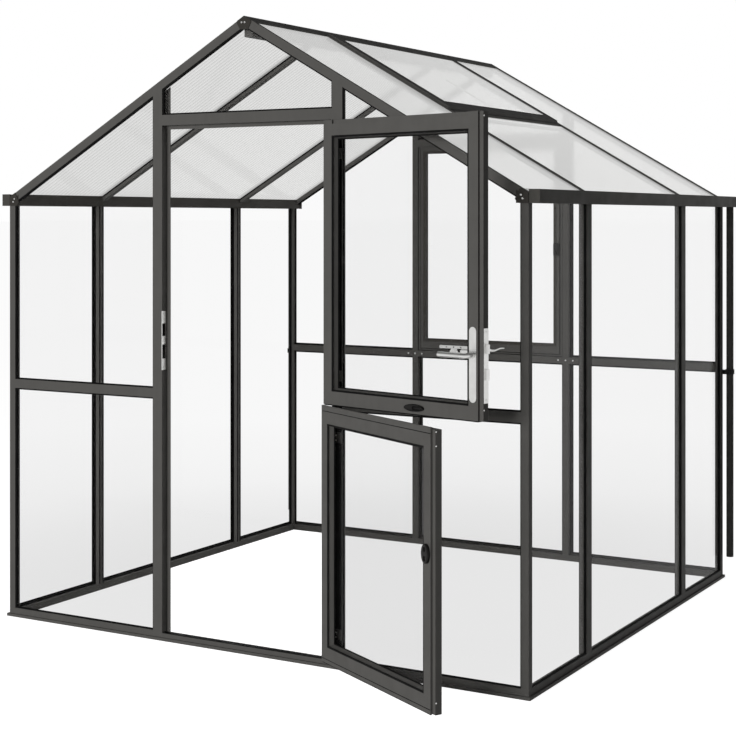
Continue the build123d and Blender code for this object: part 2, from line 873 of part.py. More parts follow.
def leaf_stiles(angle, z_span):
    """Add both stiles of a leaf, grooved for the glass, with the lip on the lock side."""
    pocket = leaf_glass_pocket
    hinge_side = [
        (hinge_edge, inner_face),
        (hinge_stile_inner, inner_face),
        (hinge_stile_inner, glass_inner),
        (hinge_stile_inner - pocket, glass_inner),
        (hinge_stile_inner - pocket, glass_outer),
        (hinge_stile_inner, glass_outer),
        (hinge_stile_inner, outer_face),
        (hinge_edge, outer_face),
    ]
    lock_side = [
        (lock_stile_inner, inner_face),
        (lock_face_edge, inner_face),
        (lock_face_edge, lip_face),
        (lock_edge, lip_face),
        (lock_edge, outer_face),
        (lock_stile_inner, outer_face),
        (lock_stile_inner, glass_outer),
        (lock_stile_inner + pocket, glass_outer),
        (lock_stile_inner + pocket, glass_inner),
        (lock_stile_inner, glass_inner),
    ]
    leaf_prism(angle, hinge_side, z_span)
    leaf_prism(angle, lock_side, z_span)


def leaf_rail(angle, edge, glass_edge, rebated=True):
    """Add a rail between the stiles: edge is its outer edge, glass_edge the one beside the glass."""
    out = 1 if edge > glass_edge else -1
    along = (hinge_stile_inner, lock_stile_inner)
    face_edge = edge - out * leaf_lip_width if rebated else edge
    pocket_edge = glass_edge + out * leaf_glass_pocket
    leaf_block(angle, along, (inner_face, lip_face), sorted((face_edge, glass_edge)))
    leaf_block(angle, along, (lip_face, glass_inner), sorted((edge, glass_edge)))
    leaf_block(angle, along, (glass_inner, glass_outer), sorted((edge, pocket_edge)))
    leaf_block(angle, along, (glass_outer, outer_face), sorted((edge, glass_edge)))


def leaf_beads(angle, glass_z):
    """Frame the pane with four beads that slope from the inner face down to the glass."""
    bottom, top = glass_z
    bead_face = inner_face + leaf_bead_setback
    leaf_block(angle, (hinge_stile_inner, lock_stile_inner), (bead_face, glass_inner), glass_z)
    base = leaf_plane(angle, (bottom + top) / 2)
    middle = base.from_local_coords(((hinge_stile_inner + lock_stile_inner) / 2, glass_inner, 0))
    width = lock_stile_inner - hinge_stile_inner - 2 * leaf_bead_width
    height = top - bottom - 2 * leaf_bead_width
    depth = glass_inner - bead_face
    slope = degrees(atan2(leaf_bead_width - leaf_bead_edge, depth))
    with BuildSketch(Plane(origin=middle, x_dir=base.x_dir, z_dir=-base.y_dir)) as light:
        Rectangle(width, height)
    extrude(light.sketch, amount=depth, taper=-slope, mode=Mode.SUBTRACT)


def leaf_glass(angle, bottom, top):
    """Add a leaf's pane, set a little way into the grooves."""
    inset = leaf_glass_pocket - glass_edge_gap
    along = (hinge_stile_inner - inset, lock_stile_inner + inset)
    leaf_block(angle, along, (glass_inner, glass_outer), (bottom - inset, top + inset))


lock_axis = (lock_stile_inner + lock_face_edge) / 2
spindle_bore = spindle_radius + spindle_gap


def spindle_hole(depths):
    """Cut the hole that the lever's spindle turns in, between two depths of the upper leaf."""
    inside, outside = depths
    plane = Plane(
        origin=leaf_plane(upper_angle, lever_level).from_local_coords((lock_axis, inside, 0)),
        z_dir=leaf_plane(upper_angle).y_dir,
    )
    with BuildSketch(plane) as hole:
        Circle(spindle_bore)
    extrude(hole.sketch, amount=outside - inside, mode=Mode.SUBTRACT)


upper_glass_z = (upper_leaf_bottom + upper_bottom_rail, upper_leaf_top - upper_top_rail)
lower_glass_z = (lower_leaf_bottom + lower_bottom_rail, lower_leaf_top - lower_top_rail)

with BuildPart() as upper_stiles:
    leaf_stiles(upper_angle, (upper_leaf_bottom, upper_leaf_top))
    spindle_hole((inner_face, outer_face))
finish(upper_stiles.part, "upper_stiles")

with BuildPart() as upper_rails:
    leaf_rail(upper_angle, upper_leaf_top, upper_glass_z[1])
    leaf_rail(upper_angle, upper_leaf_bottom, upper_glass_z[0], rebated=False)
finish(upper_rails.part, "upper_rails")

with BuildPart() as upper_beads:
    leaf_beads(upper_angle, upper_glass_z)
finish(upper_beads.part, "upper_beads")

with BuildPart() as upper_glass:
    leaf_glass(upper_angle, *upper_glass_z)
finish(upper_glass.part, "upper_glass")

strip_along = (hinge_edge, lock_face_edge)
strip_depths = (inner_face, lip_face)
fin_recess = (lower_leaf_top - leaf_lip_width, lower_leaf_top)
foot_recess = (lower_leaf_bottom, lower_leaf_bottom + leaf_lip_width)

with BuildPart() as lower_stiles:
    leaf_stiles(lower_angle, (lower_leaf_bottom, lower_leaf_top))
    for recess in (fin_recess, foot_recess):
        leaf_block(lower_angle, strip_along, strip_depths, recess, Mode.SUBTRACT)
finish(lower_stiles.part, "lower_stiles")

with BuildPart() as lower_rails:
    leaf_rail(lower_angle, lower_leaf_top, lower_glass_z[1])
    leaf_rail(lower_angle, lower_leaf_bottom, lower_glass_z[0])
finish(lower_rails.part, "lower_rails")

with BuildPart() as lower_beads:
    leaf_beads(lower_angle, lower_glass_z)
finish(lower_beads.part, "lower_beads")

with BuildPart() as lower_glass:
    leaf_glass(lower_angle, *lower_glass_z)
finish(lower_glass.part, "lower_glass")

with BuildPart() as lower_strips:
    fin_z = (fin_recess[0] + lower_strip_groove, lower_leaf_top + lower_fin_height)
    foot_z = (lower_leaf_bottom, foot_recess[1] - lower_strip_groove)
    for strip_z in (fin_z, foot_z):
        leaf_block(lower_angle, strip_along, strip_depths, strip_z)
finish(lower_strips.part, "lower_strips")


# ---- Door fittings ----
def hinge_knuckle(z_span, radius, mode=Mode.ADD):
    """Add a round knuckle or pin on the hinge axis."""
    low, high = z_span
    with BuildSketch(Plane.XY.offset(low)) as circle:
        with Locations((hinge_x, hinge_y)):
            Circle(radius)
    extrude(circle.sketch, amount=high - low, mode=mode)


with BuildPart() as jamb_hinges:
    for level in hinge_levels_upper + hinge_levels_lower:
        lower_half = (level - hinge_half_height, level - hinge_half_gap)
        flap_x = (hinge_x, hinge_x + hinge_flap_reach)
        hinge_knuckle(lower_half, hinge_radius)
        hinge_knuckle((level - hinge_half_height, level + hinge_half_height), hinge_pin_radius)
        block(flap_x, (-hinge_flap_thickness, 0), lower_half)
finish(jamb_hinges.part, "jamb_hinges")


def leaf_hinges(angle, levels):
    """Add the hinge halves that are fixed to a leaf's outer face."""
    for level in levels:
        upper_half = (level + hinge_half_gap, level + hinge_half_height)
        hinge_knuckle(upper_half, hinge_radius)
        flap_depths = (outer_face, outer_face + hinge_flap_thickness)
        leaf_block(angle, (0, hinge_flap_reach), flap_depths, upper_half)
        hinge_knuckle(upper_half, hinge_pin_radius + hinge_bore_gap, Mode.SUBTRACT)


with BuildPart() as upper_hinges:
    leaf_hinges(upper_angle, hinge_levels_upper)
finish(upper_hinges.part, "upper_hinges")

with BuildPart() as lower_hinges:
    leaf_hinges(lower_angle, hinge_levels_lower)
finish(lower_hinges.part, "lower_hinges")


def upright_slot(angle, along, level, depth, length, width, thickness):
    """Add a plate with round ends that stands upright on a leaf, from a depth outwards."""
    base = leaf_plane(angle, level)
    face = Plane(origin=base.from_local_coords((along, depth, 0)), x_dir=base.x_dir, z_dir=base.y_dir)
    with BuildSketch(face) as slot:
        SlotOverall(length, width, rotation=90)
    extrude(slot.sketch, amount=thickness)


with BuildPart() as handle_plates:
    for depth in (inner_face - plate_thickness, outer_face):
        upright_slot(upper_angle, lock_axis, plate_level, depth, plate_length, plate_width, plate_thickness)
    spindle_hole((inner_face - plate_thickness, outer_face + plate_thickness))
finish(handle_plates.part, "handle_plates")

with BuildPart() as lever_handle:
    level_plane = leaf_plane(upper_angle, lever_level)
    plate_gap = plate_thickness + spindle_gap
    spindle_start = Plane(
        origin=level_plane.from_local_coords((lock_axis, inner_face - plate_gap, 0)),
        z_dir=level_plane.y_dir,
    )
    with BuildSketch(spindle_start) as spindle:
        Circle(spindle_radius)
    extrude(spindle.sketch, amount=leaf_thickness + 2 * plate_gap)
    for face, out in ((inner_face, -1), (outer_face, 1)):
        with BuildLine(level_plane) as lever_path:
            FilletPolyline(
                (lock_axis - lever_length, face + out * lever_stand_off),
                (lock_axis, face + out * lever_stand_off),
                (lock_axis, face + out * plate_gap),
                radius=lever_bend_radius,
            )
        with BuildSketch(Plane(lever_path.line @ 0, z_dir=lever_path.line % 0)) as grip:
            Circle(lever_radius)
        sweep(grip.sketch, path=lever_path.line)
finish(lever_handle.part, "lever_handle")

with BuildPart() as upper_lock:
    plate_z = centred(faceplate_level, faceplate_length)
    plate_depths = centred((lip_face + outer_face) / 2, faceplate_width)
    plate_end = lock_edge + faceplate_thickness
    leaf_block(upper_angle, (lock_edge, plate_end), plate_depths, plate_z)
    for level, (width, height) in ((latch_level, latch_size), (deadbolt_level, deadbolt_size)):
        bolt_depths = centred((lip_face + outer_face) / 2, width)
        leaf_block(upper_angle, (plate_end, plate_end + bolt_throw), bolt_depths, centred(level, height))
finish(upper_lock.part, "upper_lock")


def leaf_oval(angle, along, level, size, thickness):
    """Add an oval grip on a leaf's inner face."""
    length, height = size
    base = leaf_plane(angle, level)
    face = Plane(origin=base.from_local_coords((along, inner_face, 0)), x_dir=-base.x_dir, z_dir=-base.y_dir)
    with BuildSketch(face) as oval:
        Ellipse(length / 2, height / 2)
    extrude(oval.sketch, amount=thickness)


with BuildPart() as upper_grip:
    leaf_oval(upper_angle, upper_grip_along, upper_grip_level, upper_grip_size, grip_thickness)
finish(upper_grip.part, "upper_grip")

with BuildPart() as lower_grip:
    leaf_oval(lower_angle, lock_axis, lower_grip_level, lower_grip_size, grip_thickness)
finish(lower_grip.part, "lower_grip")
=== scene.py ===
# %% [markdown]
# # A small glass greenhouse, dressed around its CAD frame
# The solids of the frame, the doors and the gutters come from a CAD program. Here they get their
# finishes, and the small soft or thin things that a CAD source leaves out are modelled around them:
# rubber seals, the walls inside the roof sheets, screws, the oval pulls of the doors, and the stay
# and knob of the back window. Blender works in metres, +Z is up and the front faces -Y.

# %% Load the frame
from math import cos, pi, radians, sin, tan

import bmesh
import bpy
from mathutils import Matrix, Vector


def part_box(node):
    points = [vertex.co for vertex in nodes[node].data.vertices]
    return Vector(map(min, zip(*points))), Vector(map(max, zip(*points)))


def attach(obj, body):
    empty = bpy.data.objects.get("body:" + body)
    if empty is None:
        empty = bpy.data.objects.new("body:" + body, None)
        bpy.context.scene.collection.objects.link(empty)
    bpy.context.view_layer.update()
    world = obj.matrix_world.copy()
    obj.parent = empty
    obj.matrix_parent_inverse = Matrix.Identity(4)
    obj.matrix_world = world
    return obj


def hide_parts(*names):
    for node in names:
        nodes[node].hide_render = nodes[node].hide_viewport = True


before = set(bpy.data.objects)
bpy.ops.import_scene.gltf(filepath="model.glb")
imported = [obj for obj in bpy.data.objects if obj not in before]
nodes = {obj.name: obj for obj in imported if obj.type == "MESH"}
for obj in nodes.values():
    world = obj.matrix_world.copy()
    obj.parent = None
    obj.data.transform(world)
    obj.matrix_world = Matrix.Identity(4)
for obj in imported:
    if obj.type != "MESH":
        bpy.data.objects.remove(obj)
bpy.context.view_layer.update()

# %% [markdown]
# ## Units and selections
# Blender's operators act on whatever is selected, so each piece starts from an empty selection.
# Faces and edges are then picked by where they lie, which is what a hand and a mouse would do.
# A finished piece keeps its place in its mesh and its own origin stays at the world's origin.

# %% Units
MM = 0.001


def mm(*values):
    """Turn millimetres into Blender's metres."""
    return tuple(value * MM for value in values)


print("1 mm is", MM, "m")


# %% Selecting
def clear_selection():
    """Leave edit mode and deselect everything."""
    if bpy.context.object and bpy.context.object.mode != "OBJECT":
        bpy.ops.object.mode_set(mode="OBJECT")
    bpy.ops.object.select_all(action="DESELECT")


def choose(piece):
    """Select one piece alone and make it the active one."""
    clear_selection()
    piece.select_set(True)
    bpy.context.view_layer.objects.active = piece


def edit(piece):
    """Open a piece in edit mode."""
    choose(piece)
    bpy.ops.object.mode_set(mode="EDIT")


def close_edit():
    """Go back to object mode."""
    bpy.ops.object.mode_set(mode="OBJECT")


def pick(piece, kind, wanted):
    """Select the faces, edges or vertices of the open piece that a test accepts."""
    bpy.ops.mesh.select_mode(type=kind)
    bpy.ops.mesh.select_all(action="DESELECT")
    mesh = bmesh.from_edit_mesh(piece.data)
    parts = {"FACE": mesh.faces, "EDGE": mesh.edges, "VERT": mesh.verts}[kind]
    for part in parts:
        if wanted(part):
            part.select_set(True)
    bmesh.update_edit_mesh(piece.data)


# %% Placing
def freeze(piece):
    """Put a piece's place, turn and size into its mesh."""
    choose(piece)
    bpy.ops.object.transform_apply(location=True, rotation=True, scale=True)


def place(piece, turn, origin):
    """Turn a piece about the vertical axis, move it to its place and freeze it there."""
    piece.rotation_euler = (0, 0, turn)
    piece.location = origin
    freeze(piece)


# %% Starting from a primitive
def add_box(name, low, high):
    """Start a piece from a cube primitive at its own size and place, in millimetres."""
    clear_selection()
    middle = [(a + b) / 2 * MM for a, b in zip(low, high)]
    size = [(b - a) * MM for a, b in zip(low, high)]
    bpy.ops.mesh.primitive_cube_add(size=1, location=middle, scale=size)
    piece = bpy.context.object
    piece.name = name
    freeze(piece)
    return piece


def add_round(name, radius, length, centre, axis="Z", sides=24):
    """Start a piece from a cylinder primitive along an axis, in millimetres."""
    clear_selection()
    turns = {"X": (0, pi / 2, 0), "Y": (pi / 2, 0, 0), "Z": (0, 0, 0)}
    bpy.ops.mesh.primitive_cylinder_add(
        vertices=sides, radius=radius * MM, depth=length * MM, location=mm(*centre), rotation=turns[axis]
    )
    piece = bpy.context.object
    piece.name = name
    freeze(piece)
    return piece


# %% Rounding, joining and hanging a piece on its body
def soften(piece, width, segments=2, angle=30):
    """Round the sharp edges with a bevel modifier and apply it."""
    choose(piece)
    bevel = piece.modifiers.new("edges", "BEVEL")
    bevel.width = width * MM
    bevel.segments = segments
    bevel.limit_method = "ANGLE"
    bevel.angle_limit = radians(angle)
    bpy.ops.object.modifier_apply(modifier=bevel.name)
    bpy.ops.object.shade_smooth_by_angle(angle=radians(40))


def join(name, pieces):
    """Join pieces into one object."""
    clear_selection()
    for piece in pieces:
        piece.select_set(True)
    bpy.context.view_layer.objects.active = pieces[0]
    bpy.ops.object.join()
    joined = bpy.context.object
    joined.name = name
    joined.data.name = name
    return joined


def hang(piece, body, material):
    """Let a finished piece ride on a body, in its finish."""
    piece.data.materials.clear()
    piece.data.materials.append(material)
    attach(piece, body)
    print(f"{piece.name}: {len(piece.data.polygons)} faces on {body}")
    return piece

# %% [markdown]
# ## Finishes
# Each finish is a Principled BSDF whose colour, roughness and bump vary a little over the surface.
# What several finishes share is a node group: fine grain, and the dust and rain marks that any
# thing outdoors collects. The groups only put out colours and values, never shaders.


# %% Colours as light
def linear(level):
    """Turn a colour value of 0 to 255, as a screen shows it, into the light value that nodes use."""
    share = level / 255
    return share / 12.92 if share <= 0.04045 else ((share + 0.055) / 1.055) ** 2.4


def tone(red, green, blue):
    """Give a colour as nodes use it."""
    return (linear(red), linear(green), linear(blue), 1)


print("the mid grey 128 is", round(linear(128), 3), "as light")


# %% Helpers for node trees: a group and a noise
def new_group(name, inputs, outputs):
    """Make a node group from its inputs and outputs, and give it with its two end nodes."""
    tree = bpy.data.node_groups.new(name, "ShaderNodeTree")
    for label, (kind, default) in inputs.items():
        socket = tree.interface.new_socket(label, in_out="INPUT", socket_type=kind)
        socket.default_value = default
    for label, kind in outputs.items():
        tree.interface.new_socket(label, in_out="OUTPUT", socket_type=kind)
    start = tree.nodes.new("NodeGroupInput")
    end = tree.nodes.new("NodeGroupOutput")
    return tree, start, end


def noise(tree, scale, detail=4, stretch=(1, 1, 1), rough=0.55):
    """Add a noise texture on Object coordinates, drawn out along the axes by a stretch."""
    where = tree.nodes.new("ShaderNodeTexCoord")
    mapping = tree.nodes.new("ShaderNodeMapping")
    mapping.inputs["Scale"].default_value = stretch
    texture = tree.nodes.new("ShaderNodeTexNoise")
    texture.inputs["Scale"].default_value = scale
    texture.inputs["Detail"].default_value = detail
    texture.inputs["Roughness"].default_value = rough
    tree.links.new(where.outputs["Object"], mapping.inputs["Vector"])
    tree.links.new(mapping.outputs["Vector"], texture.inputs["Vector"])
    return texture.outputs["Fac"]


def spread(tree, value, low, high):
    """Map a noise value of about 0.3 to 0.7 onto a new range."""
    mapped = tree.nodes.new("ShaderNodeMapRange")
    mapped.inputs["From Min"].default_value = 0.3
    mapped.inputs["From Max"].default_value = 0.7
    for socket, bound in ((mapped.inputs["To Min"], low), (mapped.inputs["To Max"], high)):
        if isinstance(bound, (int, float)):
            socket.default_value = bound
        else:
            tree.links.new(bound, socket)
    tree.links.new(value, mapped.inputs["Value"])
    return mapped.outputs["Result"]


# %% Helpers for node trees: numbers and colours
def calculate(tree, operation, first, second):
    """Add a math node on two values or sockets."""
    node = tree.nodes.new("ShaderNodeMath")
    node.operation = operation
    for socket, value in zip(node.inputs, (first, second)):
        if isinstance(value, (int, float)):
            socket.default_value = value
        else:
            tree.links.new(value, socket)
    return node.outputs["Value"]


def mix_colours(tree, share, first, second):
    """Add a colour mix of two colours or sockets."""
    node = tree.nodes.new("ShaderNodeMix")
    node.data_type = "RGBA"
    colour_a = [s for s in node.inputs if s.name == "A" and s.type == "RGBA"][0]
    colour_b = [s for s in node.inputs if s.name == "B" and s.type == "RGBA"][0]
    for socket, value in ((node.inputs["Factor"], share), (colour_a, first), (colour_b, second)):
        if hasattr(value, "is_linked"):
            tree.links.new(value, socket)
        else:
            socket.default_value = value
    return [s for s in node.outputs if s.type == "RGBA"][0]


# %% Group: fine grain
grain, grain_in, grain_out = new_group(
    "fine_grain",
    {
        "Colour": ("NodeSocketColor", (0.5, 0.5, 0.5, 1)),
        "Second colour": ("NodeSocketColor", (0.4, 0.4, 0.4, 1)),
        "Roughness": ("NodeSocketFloat", 0.5),
        "Roughness spread": ("NodeSocketFloat", 0.08),
    },
    {"Colour": "NodeSocketColor", "Roughness": "NodeSocketFloat", "Height": "NodeSocketFloat"},
)
fine = noise(grain, 900, detail=2)
coarse = noise(grain, 14, detail=5)
blotch = spread(grain, coarse, 0, 1)
fleck = spread(grain, fine, 0, 1)
grain_colour = mix_colours(
    grain,
    calculate(grain, "MULTIPLY", calculate(grain, "ADD", blotch, fleck), 0.5),
    grain_in.outputs["Colour"],
    grain_in.outputs["Second colour"],
)
rough_middle, rough_spread = grain_in.outputs["Roughness"], grain_in.outputs["Roughness spread"]
low_rough = calculate(grain, "SUBTRACT", rough_middle, rough_spread)
high_rough = calculate(grain, "ADD", rough_middle, rough_spread)
grain.links.new(grain_colour, grain_out.inputs["Colour"])
grain.links.new(spread(grain, coarse, low_rough, high_rough), grain_out.inputs["Roughness"])
grain.links.new(fine, grain_out.inputs["Height"])
print("group:", grain.name)

# %% Group: dust and rain marks
weather, weather_in, weather_out = new_group(
    "dust_and_rain",
    {"Amount": ("NodeSocketFloat", 0.5)},
    {"Dust": "NodeSocketFloat"},
)
streaks = spread(weather, noise(weather, 6, detail=6, stretch=(7, 7, 0.7)), 0, 1)
patches = spread(weather, noise(weather, 2.3, detail=5), 0, 1)
full_dust = calculate(weather, "MULTIPLY", streaks, patches)
dust = calculate(weather, "MULTIPLY", full_dust, weather_in.outputs["Amount"])
weather.links.new(dust, weather_out.inputs["Dust"])
print("group:", weather.name)


# %% Helper: start a material
def new_material(name, **settings):
    """Make a material with one Principled BSDF and set its plain sockets."""
    material = bpy.data.materials.new(name)
    material.use_nodes = True
    tree = material.node_tree
    shader = tree.nodes["Principled BSDF"]
    for label, value in settings.items():
        shader.inputs[label.replace("_", " ")].default_value = value
    return material, tree, shader


# %% Helpers: place a group and a bump
def use_group(tree, group, **values):
    """Place a node group in a material, with its own values."""
    node = tree.nodes.new("ShaderNodeGroup")
    node.node_tree = group
    for label, value in values.items():
        node.inputs[label.replace("_", " ")].default_value = value
    return node


def add_bump(tree, shader, height, strength, distance):
    """Feed a height into the shader's normal."""
    bump = tree.nodes.new("ShaderNodeBump")
    bump.inputs["Strength"].default_value = strength
    bump.inputs["Distance"].default_value = distance
    tree.links.new(height, bump.inputs["Height"])
    tree.links.new(bump.outputs["Normal"], shader.inputs["Normal"])


# %% Helper: a grained finish
grain_depth = 0.0002


def grained(name, colour, second, rough, spread_of_rough, bump, dust_tone=None, dust_amount=0, **settings):
    """Make a finish from the grain group, with dust mixed over it where it is asked for."""
    material, tree, shader = new_material(name, **settings)
    body = use_group(
        tree, grain, Colour=colour, Second_colour=second, Roughness=rough, Roughness_spread=spread_of_rough
    )
    colour_out = body.outputs["Colour"]
    rough_out = body.outputs["Roughness"]
    if dust_tone:
        dusty = use_group(tree, weather, Amount=dust_amount)
        colour_out = mix_colours(tree, dusty.outputs["Dust"], colour_out, dust_tone)
        duller = calculate(tree, "MULTIPLY", dusty.outputs["Dust"], 0.3)
        rough_out = calculate(tree, "ADD", rough_out, duller)
    tree.links.new(colour_out, shader.inputs["Base Color"])
    tree.links.new(rough_out, shader.inputs["Roughness"])
    add_bump(tree, shader, body.outputs["Height"], bump, grain_depth)
    return material

# %% [markdown]
# The frame is extruded aluminium with a dark grey powder coat: a matt paint that is baked on and
# has a very fine orange-peel texture. It isn't a metal to the light, because the paint covers it.
# The back wall's coat is a little darker: that is painted shade, for the back lies in shade behind the
# glass. The gutters' coat is a little darker too, and the joint plates' and hinges' coat darker still,
# which on the eaves beams is painted shade. The seals are rubber, which is nearly black and dull, and the
# handles are brushed steel, which is a metal all through.

# %% Frame, rubber and plastic finishes
coat = grained(
    "powder_coat", tone(80, 79, 77), tone(74, 73, 71), 0.55, 0.06, 0.25,
    dust_tone=tone(104, 102, 98), dust_amount=0.15, Specular_IOR_Level=0.06,
)
# The joint plates' and hinges' darker coat. On the eaves beams it is painted shade, for their inner faces
# lie in shade.
joint_coat_and_painted_shade = grained(
    "joint_plate_coat_and_painted_shade", tone(54, 52, 49), tone(47, 45, 42), 0.5, 0.06, 0.25, Specular_IOR_Level=0.1
)
# Painted shade: a darker copy of the powder coat for the back wall, which lies in shade behind the glass.
shaded_coat = grained(
    "powder_coat_back_painted_shade", tone(69, 68, 66), tone(63, 62, 60), 0.55, 0.06, 0.25,
    dust_tone=tone(94, 92, 88), dust_amount=0.15, Specular_IOR_Level=0.06,
)
gutter_coat = grained(
    "gutter_coat", tone(66, 65, 62), tone(60, 59, 56), 0.5, 0.06, 0.25,
    dust_tone=tone(92, 90, 86), dust_amount=0.15, Specular_IOR_Level=0.06,
)
rubber = grained(
    "seal_rubber", tone(17, 17, 17), tone(11, 11, 11), 0.72, 0.08, 0.35,
    dust_tone=tone(44, 43, 41), dust_amount=0.1, Specular_IOR_Level=0.1,
)
plastic = grained(
    "black_plastic", tone(27, 26, 25), tone(21, 20, 20), 0.42, 0.07, 0.3, Specular_IOR_Level=0.15
)
steel = grained(
    "brushed_steel", tone(238, 238, 236), tone(210, 210, 208), 0.32, 0.08, 0.15, Metallic=1.0
)
solid_finishes = (coat, shaded_coat, joint_coat_and_painted_shade, gutter_coat, rubber, plastic, steel)
print("finishes:", [finish.name for finish in solid_finishes])

# %% [markdown]
# ## Clear parts
# Clear glass is all transmission. The light that casts the shadow is let straight through,
# because a path tracer finds light bent by glass only with much noise. Light Path does that here.
# A flat pane hardly bends what one sees through it, so its IOR is written low, which also keeps
# its reflections weak.


# %% Clear glass
def let_light_through(tree, shader, tint):
    """Let the lamps' light pass straight through a clear material, a little dimmed."""
    rays = tree.nodes.new("ShaderNodeLightPath")
    straight = tree.nodes.new("ShaderNodeBsdfTransparent")
    straight.inputs["Color"].default_value = tint
    either = tree.nodes.new("ShaderNodeMixShader")
    tree.links.new(rays.outputs["Is Shadow Ray"], either.inputs["Fac"])
    tree.links.new(shader.outputs["BSDF"], either.inputs[1])
    tree.links.new(straight.outputs["BSDF"], either.inputs[2])
    tree.links.new(either.outputs["Shader"], tree.nodes["Material Output"].inputs["Surface"])


glass, glass_tree, glass_shader = new_material(
    "clear_glass", Base_Color=tone(250, 250, 250), Transmission_Weight=1.0, IOR=1.06, Roughness=0.0
)
film = use_group(glass_tree, weather, Amount=0.004)
glass_tree.links.new(film.outputs["Dust"], glass_shader.inputs["Roughness"])
let_light_through(glass_tree, glass_shader, tone(236, 236, 236))
print("glass:", glass.name, "IOR", round(glass_shader.inputs["IOR"].default_value, 2))

# %% [markdown]
# The roof sheets are white twin-wall polycarbonate: a milky plastic that lets light through but
# blurs what is behind it a little. About a quarter of the light comes straight through a sheet. The
# rest of what one sees is daylight scattered inside it, which would cost a slow volume, so it is
# stood in for by a soft glow. The walls inside a sheet carry an attribute, and the material mixes a grey
# into them, so that they show as fine lines down the slope.

# %% White twin-wall plastic
sheet_white, sheet_tree, sheet_shader = new_material("twin_wall_white", Transmission_Weight=0.96, IOR=1.08)
milk = use_group(
    sheet_tree, grain, Colour=tone(144, 144, 144), Second_colour=tone(140, 140, 139),
    Roughness=0.05, Roughness_spread=0.02,
)
sheet_dust = use_group(sheet_tree, weather, Amount=0.04)
sheet_dirt = sheet_dust.outputs["Dust"]
dusty_milk = mix_colours(sheet_tree, sheet_dirt, milk.outputs["Colour"], tone(128, 127, 124))
mark_node = sheet_tree.nodes.new("ShaderNodeAttribute")
mark_node.attribute_name = "cell_wall"
on_wall = mark_node.outputs["Fac"]
sheet_colour = mix_colours(sheet_tree, on_wall, dusty_milk, tone(94, 94, 93))
# Painted light: the emission is a glow that stands in for daylight scattered inside the sheet, and it is a
# little weaker over the walls inside it.
sheet_glow = mix_colours(sheet_tree, on_wall, tone(255, 255, 254), tone(214, 214, 213))
sheet_tree.links.new(sheet_glow, sheet_shader.inputs["Emission Color"])
sheet_shader.inputs["Emission Strength"].default_value = 0.35
sheet_tree.links.new(sheet_colour, sheet_shader.inputs["Base Color"])
sheet_tree.links.new(milk.outputs["Roughness"], sheet_shader.inputs["Roughness"])
add_bump(sheet_tree, sheet_shader, milk.outputs["Height"], 0.1, grain_depth)
let_light_through(sheet_tree, sheet_shader, tone(250, 250, 249))
print("sheet plastic:", sheet_white.name)

# %% Give the CAD nodes their finishes
finish_of = {
    coat: """base_front base_sides front_posts side_bars front_mid_rails door_jambs door_header
        ridge_beam front_rafters back_rafters roof_bars vent_frame vent_trimmer upper_stiles
        upper_rails upper_beads lower_stiles lower_rails lower_beads lower_strips""",
    # The back wall's parts take the darker coat, as painted shade.
    shaded_coat: """base_back back_posts back_bars back_mid_rail window_header window_frame
        window_sash downpipes""",
    # On the eaves beams this darker coat is painted shade.
    joint_coat_and_painted_shade: "corner_plates eaves_beams jamb_hinges upper_hinges lower_hinges",
    gutter_coat: "gutters",
    plastic: "pipe_clips upper_grip lower_grip",
    steel: "strike_plate vent_stay window_fittings handle_plates lever_handle upper_lock",
    glass: "window_glass front_glass back_glass side_glass upper_glass lower_glass",
    sheet_white: "roof_sheets vent_sheet",
}
dressed = []
for material, names in finish_of.items():
    for name in names.split():
        nodes[name].data.materials.clear()
        nodes[name].data.materials.append(material)
        dressed.append(name)
print("dressed:", len(dressed), "left:", sorted(set(nodes) - set(dressed)))

# %% [markdown]
# ## Where the panes are
# The seals follow the openings of the frame, so the main sizes are read from the CAD nodes first.
# Each wall is thought of as the front wall: X runs along it, Y runs inwards from its outer face.
# A piece is modelled there and then turned to its own wall.

# %% Sizes read from the frame
half_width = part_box("front_posts")[1].x / MM
frame_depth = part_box("back_posts")[1].y / MM
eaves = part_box("front_posts")[1].z / MM
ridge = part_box("ridge_beam")[1].z / MM
pitch = radians(30)
rafter_underside = 32
glass_outside = 8
glass_inside = 12
print(f"half width {half_width:.1f}, depth {frame_depth:.1f}, eaves {eaves:.1f}, ridge {ridge:.1f} mm")


def roof_height(x, depth=0):
    """Height of the roof at x, at a depth square to its outer plane, in millimetres."""
    return ridge - abs(x) * tan(pitch) - depth / cos(pitch)


WALL_TURN = {"front": 0, "right": pi / 2, "back": pi, "left": -pi / 2}
WALL_ORIGIN = {
    "front": (0, 0, 0),
    "right": mm(half_width, 0, 0),
    "back": mm(0, frame_depth, 0),
    "left": mm(-half_width, frame_depth, 0),
}


def to_wall(piece, wall):
    """Turn a piece from the front wall to its own wall."""
    place(piece, WALL_TURN[wall], WALL_ORIGIN[wall])
    return piece

# %% [markdown]
# ## Rubber glazing seals
# A black rubber strip runs round every pane, pressed between the glass and the metal. Its section
# is a wedge: thick against the metal and thin on the glass. One ring is a flat plane, cut to the
# slope where the pane has one, inset to leave a rim, extruded to its thickness, and with its inner
# edge pushed back to make the wedge.


